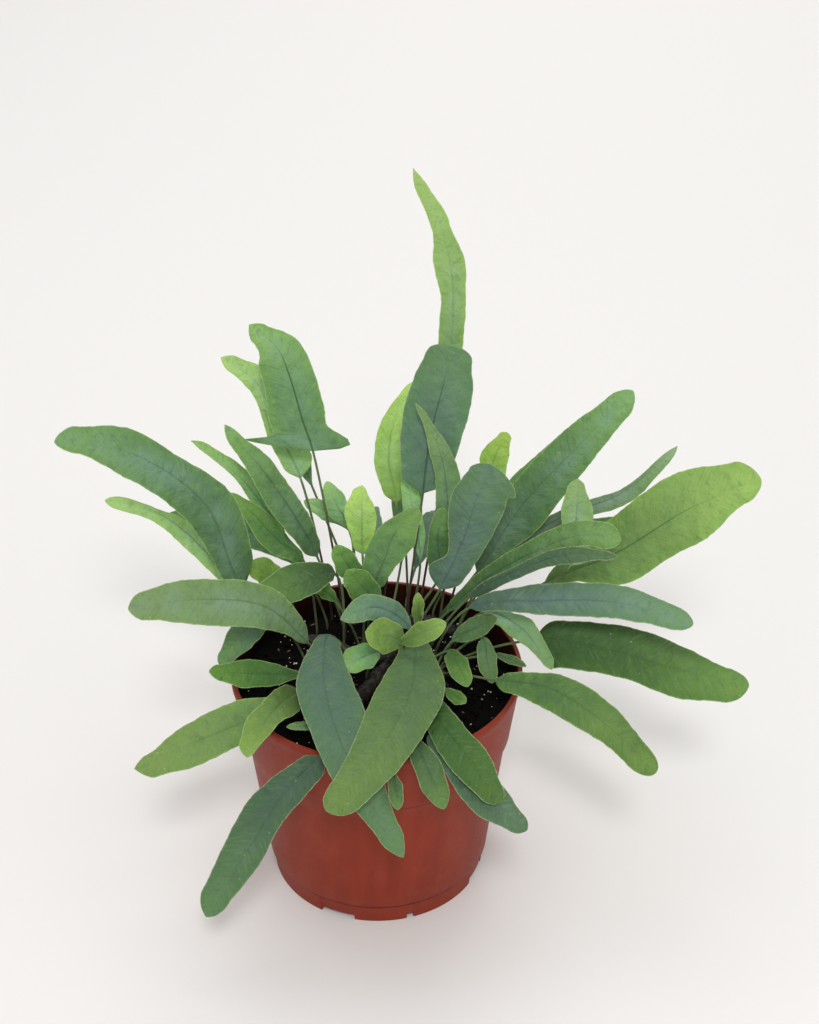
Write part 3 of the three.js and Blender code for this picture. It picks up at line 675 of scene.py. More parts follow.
@dataclass
class SoilBed:
    """Peat filling the pot up to just under the rim, with crumbs, perlite and bark on its face."""

    top: float = 92
    radius: float = 56.2
    foot_z: float = 4.95
    foot_r: float = 43.1
    waist_z: float = 71.5
    waist_r: float = 52.2
    shoulder_z: float = 84
    edge_drop: float = 0.8
    around: int = 150
    rings: int = 52
    litter: tuple[Litter, ...] = (
        Litter("soil_crumbs", PEAT, 620, (1.2, 3.4), (1, 0.8, 0.7), 0.45),
        Litter("perlite_grains", PERLITE, 200, (0.5, 1.25), (1, 0.9, 0.8), 0.4),
        Litter("bark_chips", BARK, 90, (1.6, 3.6), (1, 0.3, 0.2), 0.4, 30),
    )
    seed: int = 11

    def height(self, x: np.ndarray, y: np.ndarray) -> np.ndarray:
        """Work out the face's height: level, with long swells and short crumbs as sums of sines.

        Args:
            x: places to the right.
            y: places to the back.

        Returns:
            Heights in the same shape.
        """
        swell = 0.55 * waves(x + 0.3 * y, 46, 1) + 0.45 * waves(y - 0.4 * x, 38, 2)
        rough = 0.45 * waves(x * 0.9 + y * 0.5, 7, 3, 5) * waves(y * 1.1 - x * 0.3, 6, 4, 5)
        return self.top + swell + 1.6 * rough

    def bed(self) -> Patch:
        """Lay the face as rings round the middle, closer towards the edge, then the sides as
        rings down to the bottom.

        Returns:
            The closed bed.
        """
        a = circle(self.around)
        r = (self.radius * np.linspace(0.01, 1, self.rings) ** 0.8)[:, None]
        x, y = r * np.cos(a), r * np.sin(a)
        z = self.height(x, y)
        z[-1] -= self.edge_drop
        sides = [np.stack([side_r * np.cos(a), side_r * np.sin(a), 0 * a + side_z], -1)
                 for side_r, side_z in (
                     (self.radius - 0.6, self.shoulder_z), (self.waist_r + 1, self.waist_z + 1.5),
                     (self.waist_r, self.waist_z - 0.5), (self.foot_r, self.foot_z))]
        return tube(np.concatenate([np.stack([x, y, z], -1), np.array(sides)]))

    def grains(self, kind: Litter, seed: int) -> Patch:
        """Scatter lumpy grains over the face.

        Each is a ball of ten points, two rings of four and two poles, whose points are moved in
        and out at random. It is stretched, tilted, turned about the upright and sunk in.

        Args:
            kind: what grains, and how many.
            seed: seed of the random draws.

        Returns:
            All the grains.
        """
        rng, count = np.random.default_rng(seed), kind.count
        polar = np.array([0, 0.9, 0.9, 0.9, 0.9, 2.1, 2.1, 2.1, 2.1, np.pi])
        turn = np.array([0, 0, 0.5, 1, 1.5, 0.25, 0.75, 1.25, 1.75, 0]) * np.pi
        ball = np.stack([np.sin(polar) * np.cos(turn), np.sin(polar) * np.sin(turn), np.cos(polar)], -1)
        k = np.arange(4)
        j = (k + 1) % 4
        faces = np.concatenate([np.stack(corners, -1) for corners in (
            (0 * k, 1 + k, 1 + j), (1 + k, 5 + k, 1 + j),
            (1 + j, 5 + k, 5 + j), (0 * k + 9, 5 + j, 5 + k))])
        scale = rng.uniform(*kind.size, (count, 1, 1)) / 2 * np.array(kind.stretch)
        body = ball[None] * rng.uniform(0.7, 1.15, (count, len(ball), 1)) * scale
        spin = rng.uniform(0, 2 * np.pi, (count, 1))
        tilt = rng.uniform(-0.5, 0.5, (count, 1))
        x, y, z = body[..., 0], body[..., 1], body[..., 2]
        x, z = x * np.cos(tilt) - z * np.sin(tilt), x * np.sin(tilt) + z * np.cos(tilt)
        x, y = x * np.cos(spin) - y * np.sin(spin), x * np.sin(spin) + y * np.cos(spin)
        far = (self.radius - 2.5) * np.sqrt(rng.uniform(0.0, 1, (count, 1)))
        where = rng.uniform(0, 2 * np.pi, (count, 1))
        cx, cy = far * np.cos(where), far * np.sin(where)
        level = self.height(cx, cy) + scale[:, :, 2] * (1 - 2 * kind.sink)
        points = np.stack([x + cx, y + cy, z + level], -1).reshape(-1, 3)
        shift = np.arange(count)[:, None, None] * len(ball)
        return outward(Patch(points, np.zeros((0, 4), int), (faces[None] + shift).reshape(-1, 3)))

    def build(self) -> list[bpy.types.Object]:
        """Make the bed and what lies on it.

        Returns:
            The bed and one object for each kind of grain.
        """
        made = [piece("soil_bed", [self.bed()], PEAT.material(), ("soil",))]
        for i, kind in enumerate(self.litter):
            grains, finish = self.grains(kind, self.seed + i), kind.finish.material()
            made.append(piece(kind.name, [grains], finish, sharp=kind.sharp))
        return made


def catmull_rom(path: np.ndarray, t: np.ndarray) -> tuple[np.ndarray, np.ndarray]:
    """Smooth curve through a few points, with centripetal knots.

    Between two points the place is the cubic whose end slopes are the knot-weighted differences
    of the neighbouring points; past the ends the line is carried straight on.

    Args:
        path: the points, shape n by 3.
        t: places along the curve, 0 to 1, each span taking an equal share.

    Returns:
        Points and unit tangents.
    """
    full = np.concatenate([[2 * path[0] - path[1]], path, [2 * path[-1] - path[-2]]])
    knots = np.sqrt(np.linalg.norm(np.diff(full, axis=0), axis=1))
    spans = len(path) - 1
    i = np.minimum((t * spans).astype(int), spans - 1)
    w = (t * spans - i)[:, None]
    p0, p1, p2, p3 = (full[i + k] for k in range(4))
    d0, d1, d2 = (knots[i + k][:, None] for k in range(3))
    m1 = ((p1 - p0) / d0 - (p2 - p0) / (d0 + d1) + (p2 - p1) / d1) * d1
    m2 = ((p2 - p1) / d1 - (p3 - p1) / (d1 + d2) + (p3 - p2) / d2) * d1
    c2, c3 = -3 * p1 + 3 * p2 - 2 * m1 - m2, 2 * p1 - 2 * p2 + m1 + m2
    slope = m1 + 2 * c2 * w + 3 * c3 * w * w
    place = p1 + m1 * w + c2 * w * w + c3 * w ** 3
    return place, slope / np.linalg.norm(slope, axis=1, keepdims=True)


def unit(vectors: np.ndarray) -> np.ndarray:
    """Scale each row to length one."""
    return vectors / np.linalg.norm(vectors, axis=1, keepdims=True)


@dataclass
class Rhizome:
    """Creeping stem in three branches, half sunk in the soil and clad in narrow papery scales."""

    radius: float = 3.0
    paths: tuple[tuple[tuple[float, float, float], ...], ...] = (
        ((-34, 28, 92), (-22, 26, 93), (-8, 16, 93), (6, 14, 93), (18, 8, 93), (28, -6, 92)),
        ((-8, 16, 92), (-2, 28, 93), (8, 36, 93), (20, 40, 93), (34, 34, 92)),
        ((6, 14, 92), (0, 2, 93), (-6, -8, 92), (-16, -16, 91)),
    )
    rows: int = 60
    cols: int = 16
    swell_every: float = 14
    scales: int = 260
    scale_l: float = 3.6
    scale_half: float = 0.45
    sharp: float = 60
    seed: int = 31

    def course(self, branch: int, t: np.ndarray) -> tuple[np.ndarray, ...]:
        """Follow a branch.

        Args:
            branch: its number.
            t: places along it, 0 to 1.

        Returns:
            Points, tangents, level directions across and directions up, square to the tangents.
        """
        place, along = catmull_rom(np.array(self.paths[branch], float), t)
        across = unit(np.stack([-along[:, 1], along[:, 0], 0 * t], -1))
        return place, along, across, np.cross(along, across)

    def stem(self, branch: int) -> Patch:
        """Lay rings round a branch, their radius swelling by sines and closing round at both ends.

        Args:
            branch: its number.

        Returns:
            The bare stem.
        """
        t = np.linspace(0, 1, self.rows)
        place, _, across, up = self.course(branch, t)
        ends = np.sqrt(np.clip(1 - np.abs(2 * t - 1) ** 14, 0.02, 1))
        size = self.radius * ends * (1 + 0.1 * waves(t * self.rows, self.swell_every, branch))
        a = circle(self.cols)[None, :, None]
        return tube(place[:, None] + size[:, None, None] * (
            np.cos(a) * across[:, None] + np.sin(a) * up[:, None]))

    def cladding(self, branch: int) -> Patch:
        """Scatter flat pointed scales over the upper half, leaning along the branch.

        A scale is a diamond of four points with a raised middle point above and one below.

        Args:
            branch: its number.

        Returns:
            All the scales of the branch.
        """
        rng, count = np.random.default_rng(self.seed + branch), self.scales
        place, along, across, up = self.course(branch, rng.uniform(0.02, 0.98, count))
        a = rng.uniform(-0.3, np.pi + 0.3, count)[:, None]
        out = np.cos(a) * across + np.sin(a) * up
        side = np.cross(out, along)
        length = self.scale_l * rng.uniform(0.7, 1.2, (count, 1))
        lean = rng.uniform(-0.5, 0.5, (count, 1))
        ahead = along + lean * side
        foot = place + out * (self.radius - 0.25)
        mid = foot + ahead * length * 0.45 + out * 0.45
        tip = foot + ahead * length + out * rng.uniform(0.3, 1.0, (count, 1))
        wing = side * self.scale_half
        points = np.stack([foot, mid + wing, tip, mid - wing, mid + out * 0.16, mid - out * 0.05], 1)
        faces = np.array([(0, 1, 4), (1, 2, 4), (2, 3, 4), (3, 0, 4),
                          (1, 0, 5), (2, 1, 5), (3, 2, 5), (0, 3, 5)])
        shift = np.arange(count)[:, None, None] * points.shape[1]
        return outward(Patch(points.reshape(-1, 3), np.zeros((0, 4), int),
                             (faces[None] + shift).reshape(-1, 3)))

    def build(self) -> list[bpy.types.Object]:
        """Make the stem and its scales.

        Returns:
            The two objects.
        """
        finish, branches = SCALES.material(), range(len(self.paths))
        stem, scales = [self.stem(b) for b in branches], [self.cladding(b) for b in branches]
        return [piece("rhizome_stem", stem, finish, ("rhizome",), self.sharp),
                piece("rhizome_scales", scales, finish, sharp=self.sharp)]


# Fronds

@dataclass(frozen=True)
class Frond:
    """One frond: its root on the soil and places of the midrib from neck to tip.

    Width is the greatest width, or the half-widths of the left and right side at 1, 3, 5, 7 and
    9 tenths of the blade. Face is the azimuth and elevation, in degrees, of its upper side. Point
    runs from 0.3 for a blunt tip to 1 for a sharp one. Fold is the rise of the margins over the
    midrib, wave the height and number of their waves, and a lobe has a place, a side (1 is left)
    and a size. Tone is the lightness at base and tip, the bloom and the hue; the lightness is
    partly the blade's own tone and partly painted light and shade, set for each frond. Rib is how
    dark the midrib is, up to 1, and shade the strength of a band of painted shade along a curled
    left margin.
    """

    root: tuple[float, float]
    blade: tuple[tuple[float, float, float], ...]
    width: float | tuple[tuple[float, ...], tuple[float, ...]]
    face: tuple[float, float]
    tint: Tint
    point: float = 0.6
    fold: float = 0.12
    wave: tuple[float, float] = (0.4, 1.5)
    lobes: tuple[tuple[float, float, float], ...] = ()
    tone: tuple[float, float, float, float] = (1, 1, 0.5, 0)
    rib: float = 0.35
    # Strength of painted shade along a curled left margin
    shade: float = 0


@dataclass
class Spine:
    """Course of a frond, row by row: share of the blade (-1 on the stipe), place, direction and
    distance from the neck. Length is the blade's."""

    u: np.ndarray
    place: np.ndarray
    along: np.ndarray
    run: np.ndarray
    length: float


@dataclass
class FrondStyle:
    """Sizes and habits that all fronds share.

    A tooth has a height and a length, the sign with which its side shifts it, and a number of
    sines. Frill and pucker have a height and a length, groove and ridge a height and a half-width.
    Far_inside and far_down stand for a place without a margin and one deep down the stipe.
    """

    soil_top: float = 92
    foot_z: float = 88
    straight_h: float = 4
    stipe_r: float = 0.5
    stipe_row: float = 5
    thickness: float = 0.5
    neck_half: float = 0.3
    opening: float = 0.05
    widest_at: float = 0.5
    base_power: float = 0.75
    tip_bulge: float = 2.4
    lobe_span: float = 0.07
    lobe_shear: float = 0.55
    sway: float = 0.06
    teeth: tuple[tuple[float, float, int, int], ...] = ((0.17, 14, 1, 4), (0.07, 6, -1, 4),
                                                        (0.04, 3, -1, 3))
    frill: tuple[float, float] = (0.4, 13)
    pucker: tuple[float, float] = (0.38, 17)
    groove: tuple[float, float] = (0.16, 0.55)
    ridge: tuple[float, float] = (0.4, 0.75)
    width_from: float = 0.1
    width_step: float = 0.2
    row: float = 1.1
    rows: tuple[int, int] = (26, 110)
    bud_r: float = 2.4
    bud_h: float = 1.9
    bud_sides: int = 14
    # Gain on every frond's lightness, which is partly painted light and shade
    lightness_gain: float = 1.09
    seed_step: float = 0.731
    far_inside: float = 9
    far_down: float = 60
    sharp: float = 50

    def columns(self) -> np.ndarray:
        """Places across the blade from the left margin, 1, to the right one, -1."""
        half = np.array([1, 0.97, 0.89, 0.77, 0.62, 0.46, 0.3, 0.16, 0.06, 0])
        return np.concatenate([half, -half[-2::-1]])

    def through(self, values: tuple[float, ...], u: np.ndarray) -> np.ndarray:
        """Pass a cubic through evenly spaced values, held beyond both ends.

        The slope at a value is half the difference of its neighbours.

        Args:
            values: the values, width_step apart from width_from on.
            u: share of the blade.

        Returns:
            The cubic's value at each share.
        """
        w = np.array(values, float)
        full = np.concatenate([w[:1], w, w[-1:]])
        x = np.clip((u - self.width_from) / self.width_step, 0, len(w) - 1)
        i = np.minimum(x.astype(int), len(w) - 2)
        f = x - i
        before, a, b, after = (full[i + k] for k in range(4))
        start, end = (b - before) / 2, (after - a) / 2
        bend, twist = 3 * (b - a) - 2 * start - end, 2 * (a - b) + start + end
        return a + start * f + bend * f ** 2 + twist * f ** 3

    def lobe(self, frond: Frond, u: np.ndarray, s: np.ndarray) -> np.ndarray:
        """Share by which bell-shaped side lobes widen the blade."""
        return sum((amount * np.exp(-((u - at) / self.lobe_span) ** 2) * (np.sign(s) == on)
                    for at, on, amount in frond.lobes), 0 * u * s)

    def outline(self, frond: Frond, u: np.ndarray, s: np.ndarray, length: float, seed: float
                ) -> np.ndarray:
        """Half-width of the blade.

        Where only the greatest width is given, it rises from the neck as a power of a quarter
        sine, falls to the tip as one minus a power and swings slowly. Where half-widths are given,
        it passes through them. Bell-shaped lobes multiply it and small teeth are added.

        Args:
            frond: its widths, tip and lobes.
            u: share of the blade, a column.
            s: places across it, a row.
            length: length of the blade.
            seed: shifts the teeth.

        Returns:
            Half-widths, rows by places across.
        """
        side, lobe = np.sign(s), self.lobe(frond, u, s)
        if isinstance(frond.width, tuple):
            rise = np.sin(np.pi / 2 * np.clip(u / self.width_from, 0, 1)) ** self.base_power
            late = np.clip(1 - (1 - u) / self.width_from, 0, 1)
            left, right = (self.through(values, u) for values in frond.width)
            half = np.where(side > 0, left, np.where(side < 0, right, (left + right) / 2))
            half = half * rise * np.clip(1 - late ** 2, 0, 1) ** frond.point * (1 + lobe)
        else:
            rise = np.sin(np.pi / 2 * np.clip(u / self.widest_at, 0, 1)) ** self.base_power
            late = np.clip((u - self.widest_at) / (1 - self.widest_at), 0, 1)
            fall = np.clip(1 - late ** self.tip_bulge, 0, 1) ** frond.point
            sway = self.sway * np.sin(2 * np.pi * (frond.wave[1] + 0.7) * u + 1.7 * side)
            half = frond.width / 2 * np.where(u <= self.widest_at, rise, fall) * (1 + sway + lobe)
        tooth = sum(height * waves(u * length, long, seed + sign * side, count)
                    for height, long, sign, count in self.teeth)
        return half + tooth * np.abs(s) * np.clip(half / 4, 0, 1)

    def spine(self, frond: Frond) -> Spine:
        """Run a smooth curve from the foot through the blade's places, with rows that come closer
        together towards the tip.

        Args:
            frond: its root and places.

        Returns:
            The course.
        """
        path = np.array([(*frond.root, self.foot_z), (*frond.root, self.soil_top + self.straight_h),
                         *frond.blade], float)
        steps = np.linalg.norm(np.diff(path, axis=0), axis=1)
        stem, length, neck = float(steps[1]), float(steps[2:].sum()), 2 / (len(path) - 1)
        u = 1 - (1 - np.linspace(0, 1, int(np.clip(length / self.row, *self.rows)))) ** 1.3
        stalk = np.linspace(0, neck, 6 + int(stem / self.stipe_row), endpoint=False)
        place, along = catmull_rom(path, np.concatenate([stalk, neck + (1 - neck) * u]))
        run = np.concatenate([[0], np.cumsum(np.linalg.norm(np.diff(place, axis=0), axis=1))])
        return Spine(np.concatenate([np.full(len(stalk), -1.0), u])[:, None], place, along,
                     run - run[len(stalk)], length)

    def section(self, frond: Frond, spine: Spine, seed: float) -> tuple[np.ndarray, ...]:
        """Shape the cross-sections.

        In the stipe a section is a circle. Past the neck it opens into a thin lens whose margins
        lie at the half-width, lifted by the fold, by a wave and a frill along the blade and by
        puckers between midrib and margin. Its lower side carries the midrib as a bell-shaped ridge
        and its upper side a shallow bell-shaped groove.

        Args:
            frond: its form.
            spine: its course.
            seed: shifts its irregularities.

        Returns:
            Half-widths, places across, and heights of the upper and lower side, all in mm.
        """
        s, u, length = self.columns()[None, :], spine.u, spine.length
        v, side, out = np.clip(u, 0, 1), np.sign(s), np.abs(s)
        half = self.outline(frond, v, s, length, seed) * (u > 0)
        half = np.maximum(half, np.where(u >= 0, self.neck_half, self.stipe_r))
        half = np.maximum(half, self.stipe_r * (1 - smooth(v, 0.7, 1)))

        ripple = frond.wave[0] * np.sin(2 * np.pi * frond.wave[1] * v + side) * np.sin(np.pi * v)
        frill = self.frill[0] * waves(v * length + 5 * side, self.frill[1], seed + 3 * side)
        pucker = self.pucker[0] * waves(v * length, self.pucker[1], seed + 1.3)
        lift = (frond.fold * half * (1.3 * out - 0.3 * s * s) * np.minimum(1, v * 5)
                + (ripple + frill * np.sin(np.pi * v) ** 0.5) * out ** 1.6
                + pucker * np.sin(np.pi * out * 1.5) * np.clip(half / 6, 0, 1))

        flat = smooth(u, 0.0, self.opening)
        x, lift, fade = s * half, lift * flat, (1 - v) ** 0.6
        thick = self.thickness / 2 * (1 - 0.55 * s ** 4)
        upper = lift + thick - self.groove[0] * np.exp(-(x / self.groove[1]) ** 2) * fade
        lower = lift - thick - self.ridge[0] * np.exp(-(x / self.ridge[1]) ** 2) * fade
        round_x, round_z = s * self.stipe_r, np.sin(np.arccos(s)) * self.stipe_r
        x = x * flat + (1 - flat) * round_x * np.maximum(1, half / self.stipe_r)
        return half, x, upper * flat + round_z * (1 - flat), lower * flat - round_z * (1 - flat)

    def marks(self, frond: Frond, spine: Spine, half: np.ndarray, number: float) -> dict[str, np.ndarray]:
        """Number the points for the finish, which names the marks.

        Args:
            frond: its tones.
            spine: its course.
            half: its half-widths.
            number: number of the frond.

        Returns:
            The marks, shape rows by points by 1 or 3, the underside mirroring the upper side.
        """
        s, u, full = self.columns()[None, :], spine.u, np.ones_like(half)
        v, out = np.clip(u, 0, 1), np.abs(s)
        inside = np.where(u < 0, self.far_inside, (1 - out) * half)
        base, tip, bloom, hue = frond.tone
        late = np.maximum(v * full, 0.8 * out * smooth(v, 0, 0.3))
        # Painted shade in a band along the left margin, where it curls, fading out before the tip
        painted_curl_shade = frond.shade * smooth(s, 0.5, 0.75) * (1 - smooth(v, 0.6, 0.85))
        # Lightness from base to tip, set for each frond: partly the blade's own tone, partly painted
        # light and shade
        light = self.lightness_gain * (base + (tip - base) * v) * (1 - painted_curl_shade)
        yellowed = 0.15 + 0.85 * late ** 2 if hue > 0 else full
        upper = {"blade": (s * half, spine.run[:, None] * full, inside),
                 "share": (out * full, v * full, number * full),
                 "tone": (light, bloom * (1.15 - 0.3 * v) * full, hue * yellowed)}
        both = {}
        for name, values in upper.items():
            mark = np.stack(values, -1)
            both[name] = np.concatenate([mark, mark[:, ::-1]], 1)
        both["below"] = np.concatenate([0 * full, full], 1)[..., None]
        both["rib"] = np.full_like(both["below"], frond.rib)
        return both

    def blade(self, frond: Frond, number: float) -> Patch:
        """Lay the cross-sections of one frond along its course.

        Lobes lean towards the tip: their points are sheared along the midrib.

        Args:
            frond: its places and form.
            number: its number, which shifts its irregularities.

        Returns:
            The closed skin with its marks.
        """
        spine = self.spine(frond)
        azimuth, elevation = np.radians(frond.face)
        look = np.array([math.cos(elevation) * math.cos(azimuth),
                         math.cos(elevation) * math.sin(azimuth), math.sin(elevation)])
        across = unit(np.cross(look, spine.along))
        up = np.cross(spine.along, across)
        half, x, upper, lower = self.section(frond, spine, number * self.seed_step)
        s = self.columns()[None, :]
        lobe = self.lobe(frond, np.clip(spine.u, 0, 1), s)
        ahead = self.lobe_shear * half * s * lobe / (1 + lobe)
        line, along = spine.place[:, None], ahead[..., None] * spine.along[:, None]
        top, under = (line + x[..., None] * across[:, None] + z[..., None] * up[:, None] + along
                      for z in (upper, lower - 0.02))
        return tube(np.concatenate([top, under[:, ::-1]], 1), self.marks(frond, spine, half, number))

    def bud(self, fronds: list[Frond]) -> Patch:
        """Shape the knob that young fronds share: rings of a half ball over a short neck.

        Args:
            fronds: the fronds that spring from it.

        Returns:
            The knob, marked as stipe.
        """
        x, y = np.mean([f.root for f in fronds], axis=0)
        q = np.linspace(0, np.pi / 2 * 0.93, 7)
        r = np.concatenate([[self.bud_r * 0.8, self.bud_r], self.bud_r * np.cos(q)])[:, None]
        z = np.concatenate([[self.foot_z, self.soil_top - 1.5], self.soil_top + self.bud_h * np.sin(q)])
        a = circle(self.bud_sides)
        rings = np.stack([x + r * np.cos(a), y + r * np.sin(a), z[:, None] + 0 * a], -1)
        full = np.ones_like(rings)
        return tube(rings, {"blade": full * (0, -self.far_down, self.far_inside), "share": 0 * full,
                            "below": 0 * full[..., :1], "tone": full * (1, 0.5, 0),
                            "rib": 0 * full[..., :1]})

    def build(self, name: str, fronds: list[Frond], number: int, skins: dict[Tint, bpy.types.Material]
              ) -> bpy.types.Object:
        """Make the fronds of one node.

        Args:
            name: the node.
            fronds: its fronds; where they are several, they share a bud.
            number: its number in the plant.
            skins: material of each colour group.

        Returns:
            The object that stands for the node.
        """
        patches = [self.blade(frond, number + 0.37 * k) for k, frond in enumerate(fronds)]
        if len(fronds) > 1:
            patches.append(self.bud(fronds))
        tint = fronds[0].tint
        return piece(f"{name}_blade", patches, skins[tint], (name,), self.sharp)


